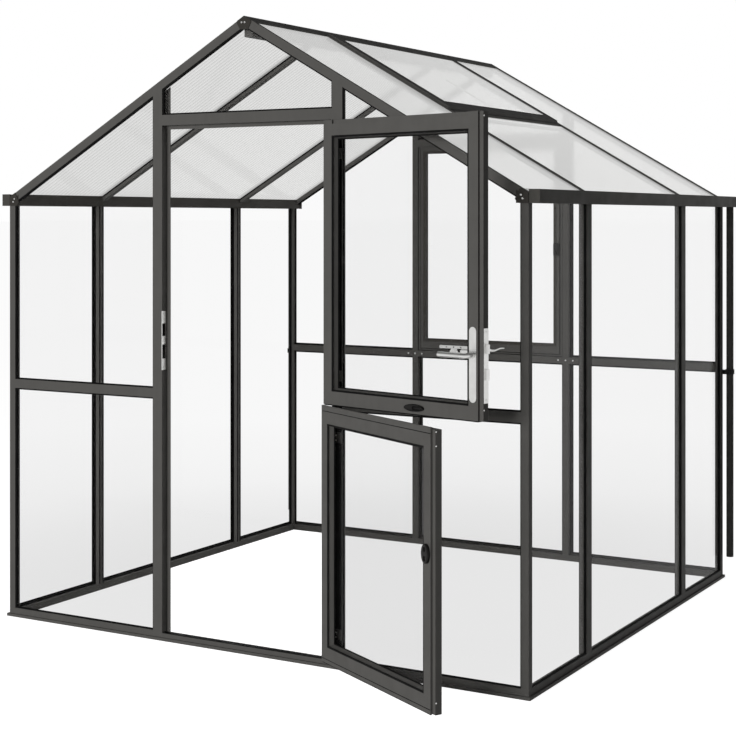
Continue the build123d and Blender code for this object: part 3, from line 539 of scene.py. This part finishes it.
# %% Model one ring
def seal_ring(name, x_span, z_span, rim, thick, at_depth, inwards=False, cuts=()):
    """Make a seal round an opening of the front wall: cuts are (point, normal) pairs in X and Z."""
    clear_selection()
    (left, right), (bottom, top) = x_span, z_span
    centre = mm((left + right) / 2, at_depth, (bottom + top) / 2)
    bpy.ops.mesh.primitive_plane_add(size=1, location=centre, rotation=(pi / 2, 0, 0))
    ring = bpy.context.object
    ring.name = name
    ring.scale = ((right - left) * MM, (top - bottom) * MM, 1)
    freeze(ring)
    edit(ring)
    for (x, z), (normal_x, normal_z) in cuts:
        bpy.ops.mesh.select_all(action="SELECT")
        bpy.ops.mesh.bisect(plane_co=mm(x, at_depth, z), plane_no=(normal_x, 0, normal_z), clear_outer=True)
    bpy.ops.mesh.select_all(action="SELECT")
    bpy.ops.mesh.inset(thickness=rim * MM)
    open_mesh = bmesh.from_edit_mesh(ring.data)
    inner = {(round(v.co.x, 6), round(v.co.z, 6)) for v in open_mesh.verts if v.select}
    bpy.ops.mesh.delete(type="FACE")
    bpy.ops.mesh.select_all(action="SELECT")
    step = thick * MM if inwards else -thick * MM
    bpy.ops.mesh.extrude_region_move(TRANSFORM_OT_translate={"value": (0, step, 0)})
    front = at_depth * MM + step

    def at_inner_edge(vert):
        return abs(vert.co.y - front) < 1e-6 and (round(vert.co.x, 6), round(vert.co.z, 6)) in inner

    pick(ring, "VERT", at_inner_edge)
    bpy.ops.transform.translate(value=(0, -step * 0.6, 0))
    bpy.ops.mesh.select_all(action="SELECT")
    bpy.ops.mesh.normals_make_consistent(inside=False)
    close_edit()
    soften(ring, 0.8, segments=2, angle=25)
    return ring


# %% Rings of one pane, outside and inside
def pane_seals(wall, outer_x, outer_z, inner_x, inner_z, cuts=(), inner_cuts=()):
    """Make both seals of a pane and turn them to their wall: the back wall's inner ones are slim."""
    rim, thick = (2.5, 2) if wall == "back" else (6, 5)
    outside = seal_ring("ring", outer_x, outer_z, 6, 5.5, glass_outside, cuts=cuts)
    inside = seal_ring("ring", inner_x, inner_z, rim, thick, glass_inside, inwards=True, cuts=inner_cuts)
    return [to_wall(outside, wall), to_wall(inside, wall)]


def slope_cut(side, depth):
    """The cut along one rafter's underside."""
    return ((0, roof_height(0, depth)), (side * sin(pitch), cos(pitch)))


base_top, upstand_top = 27, 34
mid_face, mid_body = (920, 956), (923, 953)
header_top = 1995
post_face = 28
print("heights of the openings:", base_top, mid_body, header_top, "mm")

# %% Seals of the gable walls
post_edge = half_width - post_face
jamb_face, jamb_body = 420, 410
back_bar_face, back_bar_body = 421.5, 413.5
front_seals, back_seals = [], []
for rings, wall, bay, body in (
    (front_seals, "front", (jamb_face, post_edge), (jamb_body, post_edge)),
    (back_seals, "back", (back_bar_face, post_edge), (back_bar_body, post_edge)),
):
    for side in (-1, 1):
        outer_x = sorted((side * bay[0], side * bay[1]))
        inner_x = sorted((side * body[0], side * body[1]))
        low_outer, low_inner = (upstand_top, mid_face[0]), (base_top, mid_body[0])
        rings += pane_seals(wall, outer_x, low_outer, inner_x, low_inner)
        cuts = (slope_cut(side, rafter_underside),)
        rings += pane_seals(wall, outer_x, (mid_face[1], ridge), inner_x, (mid_body[1], ridge), cuts, cuts)
both_slopes = (slope_cut(-1, rafter_underside), slope_cut(1, rafter_underside))
apex_outer, apex_inner = (header_top, ridge), (header_top - 5, ridge)
door_x, window_outer_x, window_inner_x = (-377, 377), (-375.5, 375.5), (-383.5, 383.5)
front_seals += pane_seals("front", door_x, apex_outer, door_x, apex_inner, both_slopes, both_slopes)
back_seals += pane_seals(
    "back", window_outer_x, apex_outer, window_inner_x, apex_inner, both_slopes, both_slopes
)
back_seals += pane_seals(
    "back", window_outer_x, (upstand_top, mid_face[0]), window_inner_x, (base_top, mid_body[0])
)
hang(join("front_wall_seals", front_seals), "building", rubber)
hang(join("back_wall_seals", back_seals), "building", rubber)

# %% Seals of the side walls
face_edges = (post_face, 509.5, 555.5, 1552.5, 1598.5, frame_depth - post_face)
body_edges = (post_face, 517.5, 547.5, 1560.5, 1590.5, frame_depth - post_face)
under_eaves = eaves + 6
side_seals = []
for wall in ("left", "right"):
    for number in (0, 2, 4):
        outer_x = face_edges[number:number + 2]
        inner_x = body_edges[number:number + 2]
        outer_z, inner_z = (upstand_top, under_eaves), (base_top, under_eaves)
        side_seals += pane_seals(wall, outer_x, outer_z, inner_x, inner_z)
hang(join("side_wall_seals", side_seals), "building", rubber)

# %% Black strips along the inner faces of the side bars: painted shade for the dark recess at each edge of a bar
shade_strip_width = 7
bar_shade_strips = []
for wall in ("left", "right"):
    for edge, inward in zip(body_edges[1:5], (1, -1, 1, -1)):
        near, far = sorted((edge, edge + shade_strip_width * inward))
        lip = add_box("lip", (near, 34, base_top), (far, 36, eaves))
        soften(lip, 0.8)
        bar_shade_strips.append(to_wall(lip, wall))
hang(join("side_bar_shade_strips", bar_shade_strips), "building", rubber)

# %% [markdown]
# ## The door leaves' own frame of reference
# A leaf is modelled as if it were shut and its hinge axis stood at the world's origin: X runs from
# the lock edge (negative) to the hinge, Y runs from the outer face to the inner face. Then it is
# turned about the axis to the angle at which it stands open.

# %% Put a piece on a leaf
hinge_axis = mm(371, -4, 0)
LEAF_ANGLE = {"upper_door": radians(165.9), "lower_door": radians(150.4)}
leaf_glass_out, leaf_glass_in, leaf_inner = 8, 12, 36
lock_edge, lock_axis = -734.5, -697.3
LEAF_OPENING_X = (-676.3, -46.5)
LEAF_OPENING_Z = {"upper_door": (993.5, 1893), "lower_door": (90, 876)}
leaf_bead = 9


def to_leaf(piece, body):
    """Turn a piece of a shut leaf to where its leaf stands."""
    place(piece, LEAF_ANGLE[body], hinge_axis)
    return piece


print("leaves stand open by", [round(angle, 3) for angle in LEAF_ANGLE.values()], "radians")


# %% Seals of the leaves
def shrink(span, step):
    """Move both ends of a span inwards."""
    return (span[0] + step, span[1] - step)


for body, name in (("upper_door", "upper_leaf_seals"), ("lower_door", "lower_leaf_seals")):
    opening = (LEAF_OPENING_X, LEAF_OPENING_Z[body])
    at_glass = [shrink(span, leaf_bead) for span in opening]
    at_lip = [shrink(span, -1.5) for span in opening]
    rings = [
        seal_ring("ring", *at_lip, 6.5, 3.8, leaf_inner - 3, inwards=True),
        seal_ring("ring", *at_glass, 4, 3, leaf_glass_in, inwards=True),
        seal_ring("ring", *opening, 6, 3.5, leaf_glass_out),
    ]
    hang(join(name, [to_leaf(ring, body) for ring in rings]), body, rubber)

# %% [markdown]
# ## Twin-wall roof sheets
# A twin-wall sheet is two thin skins held apart by walls that run down the slope, 24 mm apart. From
# outside one sees a milky slab with fine lines, and at its ends the mouths of the cells. A hollow
# sheet would bend each ray of light a dozen times, so the slab is kept whole: one cell is a short
# tube, a narrow strip over the wall and a wide one over the hollow, which Array repeats. Then the
# sides are closed and the mouths are inset and pushed in.


# %% Helper: repeat a piece in a row
def repeat(piece, step, count, merge=0):
    """Repeat a piece in a row with an array modifier: step in millimetres, merge in metres."""
    choose(piece)
    row = piece.modifiers.new("row", "ARRAY")
    row.use_relative_offset = False
    row.use_constant_offset = True
    row.constant_offset_displace = mm(*step)
    row.count = count
    if merge:
        row.use_merge_vertices = True
        row.merge_threshold = merge
    bpy.ops.object.modifier_apply(modifier=row.name)


# %% Model one sheet
wall_strip = 4.4
wall_pitch = 24
mouth_depth = 12


def to_slope(piece, side):
    """Turn a piece that lies flat at height zero onto one slope of the roof."""
    piece.rotation_euler = (0, side * pitch, 0)
    piece.location = (0, 0, ridge * MM)
    freeze(piece)
    return piece


def twin_wall(name, side, along, across, depths):
    """Make a sheet on one slope: along is measured down the slope and across along the ridge."""
    near, far = along
    start, end = across
    top, bottom = depths
    low_x, high_x = sorted((side * near, side * far))
    count = round((end - start) / wall_pitch)
    step = (end - start) / count
    sheet = add_box(name, (low_x, start, -bottom), (high_x, start + wall_strip, -top))
    edit(sheet)
    pick(sheet, "FACE", lambda face: abs(face.normal.y) > 0.9)
    bpy.ops.mesh.delete(type="ONLY_FACE")
    strip_end = (start + wall_strip) * MM
    pick(sheet, "EDGE", lambda edge: all(abs(v.co.y - strip_end) < 1e-6 for v in edge.verts))
    bpy.ops.mesh.extrude_region_move(TRANSFORM_OT_translate={"value": mm(0, step - wall_strip, 0)})
    close_edit()
    repeat(sheet, (0, step, 0), count, merge=0.00005)
    edit(sheet)
    for bound in (start * MM, end * MM):
        pick(sheet, "EDGE", lambda edge: all(abs(v.co.y - bound) < 1e-5 for v in edge.verts))
        bpy.ops.mesh.edge_face_add()
    pick(sheet, "FACE", lambda face: abs(face.normal.x) > 0.9 and face.calc_area() > 40 * MM**2)
    bpy.ops.mesh.inset(thickness=0.8 * MM, depth=-mouth_depth * MM, use_individual=True)
    bpy.ops.mesh.select_all(action="SELECT")
    bpy.ops.mesh.normals_make_consistent(inside=False)
    close_edit()
    mark = sheet.data.attributes.new("cell_wall", "FLOAT", "FACE")
    for face in sheet.data.polygons:
        ys = [sheet.data.vertices[v].co.y for v in face.vertices]
        mark.data[face.index].value = 1.0 if max(ys) - min(ys) < 1.2 * wall_strip * MM else 0.0
    return to_slope(sheet, side)


# %% The six sheets and the sheet of the vent
sheet_bays = ((9, 535.5), (545.5, 1578.5), (1588.5, frame_depth - 9))
sheet_end = half_width / cos(pitch) + 5 * tan(pitch)
sheet_start = 20 / cos(pitch) + 15 * tan(pitch)
below_vent = 585 / cos(pitch) + 15 * tan(pitch)
sheets = []
for side in (-1, 1):
    for number, bay in enumerate(sheet_bays):
        start = below_vent if side > 0 and number == 1 else sheet_start
        sheets.append(twin_wall("sheet", side, (start, sheet_end), bay, (5, 15)))
roof = hang(join("roof_twin_wall", sheets), "building", sheet_white)
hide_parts("roof_sheets")
vent_light_x = (80, 531)
vent_along = tuple(x / cos(pitch) - 4 * tan(pitch) for x in vent_light_x)
vent_pane = twin_wall("vent_twin_wall", 1, vent_along, (578, 1530), (-7, -1))
hang(vent_pane, "building", sheet_white)
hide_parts("vent_sheet")

# %% [markdown]
# From below, a black seal shows on both sides of each roof bar, where the sheets rest on it. Each
# seal is a long box with a rounded lower edge, turned onto the slope like the sheets.

# %% Seals beside the roof bars
roof_bar_y = (540.5, 1583.5)
half_bar, seal_width, seal_top, seal_foot = 15, 3, -15, -21
seal_end = (half_width - 30) / cos(pitch)
bar_seals = []
for side in (-1, 1):
    for bar_y in roof_bar_y:
        for edge in (-1, 1):
            by_vent = side > 0 and (bar_y == roof_bar_y[0]) == (edge > 0)
            start = below_vent + 40 if by_vent else sheet_start + 10
            low_x, high_x = sorted((side * start, side * seal_end))
            low_y, high_y = sorted((bar_y + edge * half_bar, bar_y + edge * (half_bar + seal_width)))
            seal = add_box("bar_seal", (low_x, low_y, seal_foot), (high_x, high_y, seal_top))
            edit(seal)
            pick(seal, "FACE", lambda face: face.normal.z < -0.9)
            bpy.ops.transform.resize(value=(1, 0.5, 1))
            close_edit()
            soften(seal, 0.5)
            bar_seals.append(to_slope(seal, side))
hang(join("roof_bar_seals", bar_seals), "building", rubber)

# %% [markdown]
# ## Seals of the doorway and the back window
# Where the opened leaves fold back, a black strip on the jamb is painted shade: it stands for the deep
# shade behind the leaves. It is left out where the hinges are. A flat threshold strip with a shallow groove
# lies on the base rail between the jambs. Both start as boxes: an inset raises the middle of the first, and
# two cuts by bisect mark off the groove of the second.

# %% Strips of the doorway: black strips on the jamb as painted shade, and a rubber threshold
strip_x = (381, 419)
between_hinges = ((32, 103), (142, 803), (842, 1023), (1062, 1813), (1852, 1950))
jamb_shade_strips = []
for low_z, high_z in between_hinges:
    strip = add_box("strip", (strip_x[0], -1.8, low_z), (strip_x[1], 0, high_z))
    edit(strip)
    pick(strip, "FACE", lambda face: face.normal.y < -0.9)
    bpy.ops.mesh.inset(thickness=5 * MM)
    bpy.ops.transform.translate(value=mm(0, 0.8, 0))
    close_edit()
    soften(strip, 0.4)
    jamb_shade_strips.append(strip)
hang(join("jamb_shade_strips", jamb_shade_strips), "building", rubber)
groove = (7, 14)
threshold = add_box("threshold_strip", (-376, 1, base_top), (376, 20, 29.5))
edit(threshold)
for depth in groove:
    bpy.ops.mesh.select_all(action="SELECT")
    bpy.ops.mesh.bisect(plane_co=mm(0, depth, 0), plane_no=(0, 1, 0))
middle_y = sum(groove) / 2 * MM
pick(threshold, "FACE", lambda f: f.normal.z > 0.9 and abs(f.calc_center_median().y - middle_y) < 0.001)
bpy.ops.transform.translate(value=mm(0, 0, -1.2))
close_edit()
soften(threshold, 0.4)
hang(threshold, "building", rubber)

# %% Seals of the back window
sash_inside, sash_outside = 34, 30
window_rings = [
    seal_ring("ring", (-383.5, 383.5), (953, 1955), 3, 3, sash_outside, inwards=True),
    seal_ring("ring", (-370.5, 370.5), (963, 1955), 3, 3, sash_outside, inwards=True),
]
window_seals = join("window_seals", [to_wall(ring, "back") for ring in window_rings])
hang(window_seals, "building", rubber)
sash_bead = seal_ring("sash_bead", (-351.5, 351.5), (1001, 1933), 14, 2.5, sash_inside, inwards=True)
hang(to_wall(sash_bead, "back"), "building", joint_coat_and_painted_shade)

# %% [markdown]
# ## Brush under the lower leaf
# A row of short black tufts closes the gap above the threshold. One tuft is a small block that is
# tapered at its foot, and Array repeats it along the leaf.

# %% Model the brush
leaf_x = (-716, -6)
tuft_pitch, tuft_count, tuft_width = 4, 177, 2.6
tuft = add_box("lower_brush", (leaf_x[0], 29, 28.3), (leaf_x[0] + tuft_width, 35, 32))
edit(tuft)
pick(tuft, "FACE", lambda face: face.normal.z < -0.9)
bpy.ops.transform.resize(value=(0.5, 0.6, 1))
close_edit()
repeat(tuft, (tuft_pitch, 0, 0), tuft_count)
hang(to_leaf(tuft, "lower_door"), "lower_door", rubber)

# %% [markdown]
# ## Cords and lip of the leaves
# Two thin black cords lie in grooves along the lower leaf: they are painted shade, the dark lines of shade
# in the grooves. A soft lip hangs under the upper leaf, which keeps rain out of the joint between them.
# They are long boxes: the cords are rounded by a bevel, and the lip is hollowed from below by an inset that
# is pushed up.

# %% Cords in the grooves of the lower leaf, as painted shade lines
cords = []
for low_z, high_z in ((919.2, 922), (44, 46.8)):
    cord = add_box("groove_cord", (leaf_x[0], 34.8, low_z), (leaf_x[1], 36.6, high_z))
    soften(cord, 0.7)
    cords.append(cord)
hang(to_leaf(join("groove_shade_cords", cords), "lower_door"), "lower_door", rubber)

# %% Model the lip under the upper leaf
sweep = add_box("upper_leaf_sweep", (leaf_x[0], 8, 941.3), (leaf_x[1], 34, 945.5))
edit(sweep)
pick(sweep, "FACE", lambda face: face.normal.z < -0.9)
bpy.ops.mesh.inset(thickness=3 * MM)
bpy.ops.transform.translate(value=mm(0, 0, 2))
close_edit()
soften(sweep, 0.5)
hang(to_leaf(sweep, "upper_door"), "upper_door", rubber)

# %% [markdown]
# ## Stay and knob of the back window
# The stay is a flat bar with holes that lies on a rest and ends in a curled finger grip. The bar is a box
# whose end face is drawn out step by step, moved and made thinner each time, and the holes are cut by
# Boolean with round bars. The plate and the rest that carries the bar are separate solids, joined to it,
# and the turn knob is a separate piece.


# %% Helpers for furniture
def cut_holes(piece, cutters):
    """Cut the cutters out of a piece and remove them."""
    cutter = join("cutter", cutters)
    choose(piece)
    holes = piece.modifiers.new("holes", "BOOLEAN")
    holes.operation = "DIFFERENCE"
    holes.object = cutter
    bpy.ops.object.modifier_apply(modifier=holes.name)
    bpy.data.objects.remove(cutter)


def draw_out(steps):
    """Extrude the selected face by steps: how far in X and Z, and the new height's share."""
    for step_x, step_z, share in steps:
        bpy.ops.mesh.extrude_region_move(TRANSFORM_OT_translate={"value": mm(step_x, 0, step_z)})
        bpy.ops.transform.resize(value=(1, 1, share))


# %% Model the stay
inner_y = frame_depth - sash_inside
bar_z = 977.5
hole_places = (-222, -183, -144, -105, -66)
grip_steps = (
    (14, -5, 0.85), (16, -4, 0.85), (16, 1, 0.85), (14, 6, 0.85), (12, 5, 0.9), (12, 2, 0.9), (12, 0, 0.8)
)
bar = add_box("window_stay", (-256, inner_y - 8, bar_z - 7.5), (-8, inner_y - 2.5, bar_z + 7.5))
edit(bar)
pick(bar, "FACE", lambda face: face.normal.x > 0.9)
draw_out(grip_steps)
close_edit()
soften(bar, 1.5, segments=3)
cut_holes(bar, [add_round("hole", 3.6, 20, (x, inner_y - 5, bar_z), "Y") for x in hole_places])
pivot = add_round("pivot", 9, 8, (-252, inner_y - 4, bar_z), "Y")
soften(pivot, 2)
plate = add_box("plate", (-215, inner_y - 5, 939), (-147, inner_y, 953))
soften(plate, 2)
rest = add_box("rest", (-206, inner_y - 8, 951), (-156, inner_y - 1, 971))
edit(rest)
pick(rest, "FACE", lambda face: face.normal.z > 0.9)
bpy.ops.transform.resize(value=(0.6, 1, 1))
close_edit()
soften(rest, 1.5)
stay = hang(join("window_stay", [bar, pivot, plate, rest]), "building", steel)
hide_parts("window_fittings")

# %% Model the turn knob
knob_x, knob_z = 354, 1457
rose = add_box("rose", (knob_x - 9, inner_y - 4, knob_z - 28), (knob_x + 9, inner_y, knob_z + 28))
soften(rose, 2.5, segments=3)
neck = add_round("neck", 6, 8, (knob_x, inner_y - 7, knob_z - 12), "Y")
grip = add_box("grip", (knob_x - 14, inner_y - 16, knob_z - 31), (knob_x + 14, inner_y - 9, knob_z + 31))
edit(grip)
pick(grip, "FACE", lambda face: face.normal.y < -0.9)
bpy.ops.transform.resize(value=(0.8, 1, 0.9))
close_edit()
soften(grip, 6, segments=4)
knob = hang(join("window_knob", [rose, neck, grip]), "building", plastic)
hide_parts("window_fittings")

# %% [markdown]
# ## Oval pulls
# Each leaf has a black oval pull on its inner face. It starts as a short cylinder that is stretched
# to an oval, is rounded over by a bevel, and gets finger wells cut into it.


# %% Model the pulls
def oval_pull(name, body, centre, size, wells):
    """Make a pull on a leaf's inner face and stand it for the CAD grip."""
    x, z = centre
    length, height = size
    radius = 10
    pull = add_round(name, radius, 12, (0, 0, 0), "Y", sides=48)
    pull.scale = (length / 2 / radius, 1, height / 2 / radius)
    pull.location = mm(x, leaf_inner + 6, z)
    freeze(pull)
    soften(pull, 3.5, segments=4)
    cutters = []
    for (dx, dz), (wide, high) in wells:
        low = (x + dx - wide / 2, leaf_inner + 5, z + dz - high / 2)
        well = add_box("well", low, (x + dx + wide / 2, leaf_inner + 20, z + dz + high / 2))
        soften(well, min(wide, high) * 0.4, segments=4)
        cutters.append(well)
    cut_holes(pull, cutters)
    bpy.ops.object.shade_smooth_by_angle(angle=radians(40))
    hang(to_leaf(pull, body), body, plastic)
    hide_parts(name.replace("pull", "grip"))


oval_pull("upper_pull", "upper_door", (-442, 967), (85.6, 25.6), (((-17, 0), (38, 14)),))
lower_wells = (((-2, -15), (12, 17)), ((-2, 15), (12, 17)))
oval_pull("lower_pull", "lower_door", (lock_axis, 538), (39.6, 63.6), lower_wells)

# %% [markdown]
# ## Screws
# The frame is held by small bright pan-head screws. One is modelled: a low cylinder whose rim is
# bevelled to a dome and whose top is inset and pushed in for the driver. The rest are its copies.


# %% Model one screw
def make_screw(radius=3.6, height=2.2):
    """Make a screw head that stands on the origin and points along +Z, in millimetres."""
    head = add_round("screw", radius, height, (0, 0, height / 2), sides=16)
    edit(head)
    pick(head, "FACE", lambda face: face.normal.z > 0.9)
    bpy.ops.mesh.inset(thickness=radius * 0.28 * MM)
    bpy.ops.mesh.inset(thickness=radius * 0.3 * MM)
    bpy.ops.transform.translate(value=(0, 0, -height * 0.5 * MM))

    def on_rim(vert):
        return vert.co.z > height * 0.9 * MM and vert.co.xy.length > radius * 0.9 * MM

    pick(head, "EDGE", lambda edge: all(on_rim(vert) for vert in edge.verts))
    bpy.ops.mesh.bevel(offset=height * 0.45 * MM, segments=3)
    close_edit()
    bpy.ops.object.shade_smooth_by_angle(angle=radians(50))
    return head


def set_screws(name, head, spots, body, to_place=None):
    """Copy the screw head to spots: (x, y, z) in millimetres and the way it points."""
    heads = []
    for point, direction in spots:
        choose(head)
        bpy.ops.object.duplicate(linked=False)
        copy = bpy.context.object
        copy.rotation_euler = Vector(direction).to_track_quat("Z", "Y").to_euler()
        copy.location = mm(*point)
        freeze(copy)
        heads.append(copy)
    screws = join(name, heads)
    if to_place:
        to_place(screws)
    return hang(screws, body, steel)


screw = make_screw()
plate_face, back_bar_x = 3, 398.5
spots = []
for y, out in ((-plate_face, -1), (frame_depth + plate_face, 1)):
    for x, z in ((-9, 2324), (4.4, 2324), (-1115, 1681), (-1121, 1669), (1115, 1681), (1121, 1669)):
        spots.append(((x, y, z), (0, out, 0)))
for side in (-1, 1):
    for step in (-37, 0, 37):
        spots.append(((side * back_bar_x + step, inner_y, 938), (0, -1, 0)))
    spots.append(((side * 1128, frame_depth + 4, 917), (0, 1, 0)))
set_screws("frame_screws", screw, spots, "building")

# %% Small screws of the doorway and the leaves
small = make_screw(2.6, 1.3)
hinge_levels = {"upper_door": (1060, 1850), "lower_door": (140, 840)}
jamb_spots = [((-375, 12.5, z), (1, 0, 0)) for z in (1036, 1240)]
for level in hinge_levels["upper_door"] + hinge_levels["lower_door"]:
    jamb_spots += [((x, -2, level + step), (0, -1, 0)) for x in (384, 396) for step in (-26, -9)]
set_screws("jamb_screws", small, jamb_spots, "building")
edge_spots = {
    "upper_door": [((lock_edge, 25.5, z), (-1, 0, 0)) for z in (981, 1935)],
    "lower_door": [((lock_edge, 25.5, z), (-1, 0, 0)) for z in (70, 882, 927)],
}
edge_spots["upper_door"] += [((lock_edge - 2, 16, z), (-1, 0, 0)) for z in (1014, 1235)]
for body, levels in hinge_levels.items():
    flap_places = [(x, 2, z + step) for z in levels for x in (-12, -25) for step in (9, 26)]
    leaf_spots = edge_spots[body] + [(place_on_flap, (0, -1, 0)) for place_on_flap in flap_places]
    set_screws(body + "_screws", small, leaf_spots, body, lambda piece: to_leaf(piece, body))
for head in (screw, small):
    bpy.data.objects.remove(head)

# %% [markdown]
# ## Floor, light and camera
# The greenhouse stands on a plain white floor that runs on to the horizon. The floor glows for the
# camera's own rays and for what glass and metal show of it, and the rest of its brightness is real
# light, so that the greenhouse keeps its shadow. The floor lights the greenhouse only weakly.

# %% Floor
clear_selection()
bpy.ops.mesh.primitive_plane_add(size=3000, location=(0, 0, -0.0005))
floor = bpy.context.object
floor.name = "floor"
floor_white = bpy.data.materials.new("floor_white")
floor_white.use_nodes = True
floor_tree = floor_white.node_tree
floor_tree.nodes.clear()
floor_rays = floor_tree.nodes.new("ShaderNodeLightPath").outputs
floor_glow = floor_tree.nodes.new("ShaderNodeEmission")
floor_light = floor_tree.nodes.new("ShaderNodeBsdfDiffuse")
floor_sum = floor_tree.nodes.new("ShaderNodeAddShader")
floor_end = floor_tree.nodes.new("ShaderNodeOutputMaterial")
print(floor.name, "reaches", floor.dimensions.x / 2, "m each way")

# %% The floor as the panes show it: painted shade, a little darker in and round the greenhouse
far_off = 6.0
floor_way = floor_tree.nodes.new("ShaderNodeTexCoord")
from_middle = floor_tree.nodes.new("ShaderNodeVectorMath")
from_middle.operation = "DISTANCE"
from_middle.inputs[1].default_value = (0, frame_depth / 2 * MM, 0)
floor_tree.links.new(floor_way.outputs["Object"], from_middle.inputs[0])
# Painted shade: through the panes the floor's glow grows darker towards the greenhouse, for the shadow that
# it casts there.
shade = floor_tree.nodes.new("ShaderNodeValToRGB")
stops = shade.color_ramp.elements
for metres, level in ((2.06, 0.87), (3.05, 0.93), (3.85, 0.95)):
    stops.new(metres / far_off).color = (level, level, level, 1)
stops[0].position, stops[0].color = 1.2 / far_off, (0.83, 0.83, 0.83, 1)
stops[-1].position, stops[-1].color = 1.0, (0.98, 0.98, 0.98, 1)
share_of_way = calculate(floor_tree, "DIVIDE", from_middle.outputs["Value"], far_off)
floor_tree.links.new(share_of_way, shade.inputs["Fac"])
pane_ray = floor_rays["Is Transmission Ray"]
through_panes = calculate(floor_tree, "MULTIPLY", pane_ray, shade.outputs["Color"])
to_camera = calculate(floor_tree, "MULTIPLY", floor_rays["Is Camera Ray"], 0.9)
mirror_ray = calculate(floor_tree, "GREATER_THAN", floor_rays["Is Glossy Ray"], pane_ray)
to_metal = calculate(floor_tree, "MULTIPLY", mirror_ray, 0.9)
glow = calculate(floor_tree, "ADD", calculate(floor_tree, "ADD", through_panes, to_camera), to_metal)
floor_tree.links.new(glow, floor_glow.inputs["Strength"])
floor_shade, seen_shade = 0.12, 0.6
more_seen = calculate(floor_tree, "MULTIPLY", floor_rays["Is Camera Ray"], seen_shade - floor_shade)
lit = calculate(floor_tree, "ADD", floor_shade, more_seen)
unlit = calculate(floor_tree, "MULTIPLY", pane_ray, floor_shade)
albedo = calculate(floor_tree, "SUBTRACT", lit, unlit)
floor_tree.links.new(albedo, floor_light.inputs["Color"])
floor_tree.links.new(floor_glow.outputs["Emission"], floor_sum.inputs[0])
floor_tree.links.new(floor_light.outputs["BSDF"], floor_sum.inputs[1])
floor_tree.links.new(floor_sum.outputs["Shader"], floor_end.inputs["Surface"])
floor.data.materials.append(floor_white)
print("floor nodes:", len(floor_tree.nodes))

# %% [markdown]
# The world is plain white to the camera and through glass. As light it is weak, and weaker from
# above than from the horizon, as in a studio whose walls are lit and whose ceiling is dark. What
# metal and paint mirror of it follows the same slope, which keeps the tops of the bars dark.

# %% World
world = bpy.data.worlds.new("white_studio")
bpy.context.scene.world = world
world.use_nodes = True
world_tree = world.node_tree
world_tree.nodes.clear()
world_rays = world_tree.nodes.new("ShaderNodeLightPath").outputs
world_way = world_tree.nodes.new("ShaderNodeTexCoord")
split = world_tree.nodes.new("ShaderNodeSeparateXYZ")
world_tree.links.new(world_way.outputs["Generated"], split.inputs["Vector"])


def by_height(low, high):
    """Give a level that goes from low at the horizon to high overhead."""
    slope = world_tree.nodes.new("ShaderNodeMapRange")
    slope.inputs["From Max"].default_value = 0.7
    slope.inputs["To Min"].default_value = low
    slope.inputs["To Max"].default_value = high
    world_tree.links.new(split.outputs["Z"], slope.inputs["Value"])
    return slope.outputs["Result"]


through_glass = world_rays["Is Transmission Ray"]
seen_plain = calculate(world_tree, "MAXIMUM", world_rays["Is Camera Ray"], through_glass)
mirrored = calculate(world_tree, "MULTIPLY", world_rays["Is Glossy Ray"], by_height(0.85, 0.1))
as_light = calculate(world_tree, "MULTIPLY", world_rays["Is Diffuse Ray"], by_height(0.38, 0.05))
sky = world_tree.nodes.new("ShaderNodeBackground")
sky.inputs["Color"].default_value = (1, 1, 1, 1)
world_end = world_tree.nodes.new("ShaderNodeOutputWorld")
dim_level = calculate(world_tree, "MAXIMUM", mirrored, as_light)
sky_level = calculate(world_tree, "MAXIMUM", seen_plain, dim_level)
world_tree.links.new(sky_level, sky.inputs["Strength"])
world_tree.links.new(sky.outputs["Background"], world_end.inputs["Surface"])
print("world:", world.name)

# %% [markdown]
# One large soft lamp stands in front of the greenhouse, a little to the left, so that faces turned
# to the front are the lightest. A weak one behind the right corner keeps the back and the right
# side from going black. Neither shows in glass or metal, whose reflections come from the world.


# %% Lamps
def add_lamp(name, size, power, location, aim):
    """Hang an area lamp and turn it to the point that it is aimed at."""
    light = bpy.data.lights.new(name, "AREA")
    light.shape = "RECTANGLE"
    light.size, light.size_y = size
    light.energy = power
    lamp = bpy.data.objects.new(name, light)
    bpy.context.scene.collection.objects.link(lamp)
    lamp.location = location
    lamp.rotation_euler = (Vector(aim) - lamp.location).to_track_quat("-Z", "Y").to_euler()
    lamp.visible_glossy = False
    lamp.visible_transmission = False
    print("lamp:", lamp.name, power, "W")


add_lamp("front_lamp", (4.1, 2.4), 730, (-0.75, -8.0, 2.0), (-0.2, 0.6, 1.0))
add_lamp("back_fill", (2.5, 2.5), 110, (4.5, 6.5, 1.2), (0.6, 1.1, 1.0))

# %% [markdown]
# The camera stands at eye level, to the right of the front, and looks level. A level camera keeps
# upright lines upright, and its lens shift brings the whole greenhouse into the frame instead.

# %% Camera
camera_data = bpy.data.cameras.new("camera")
camera_data.sensor_width = 36
camera_data.lens = 78.149
camera_data.shift_y = -0.20245
camera = bpy.data.objects.new("camera", camera_data)
bpy.context.scene.collection.objects.link(camera)
camera.location = (3.3257, -4.871, 1.6)
camera.rotation_euler = (pi / 2, 0, radians(29.894))
bpy.context.scene.camera = camera
bpy.context.scene.view_settings.view_transform = "Standard"
print("camera at", tuple(round(value, 3) for value in camera.location))
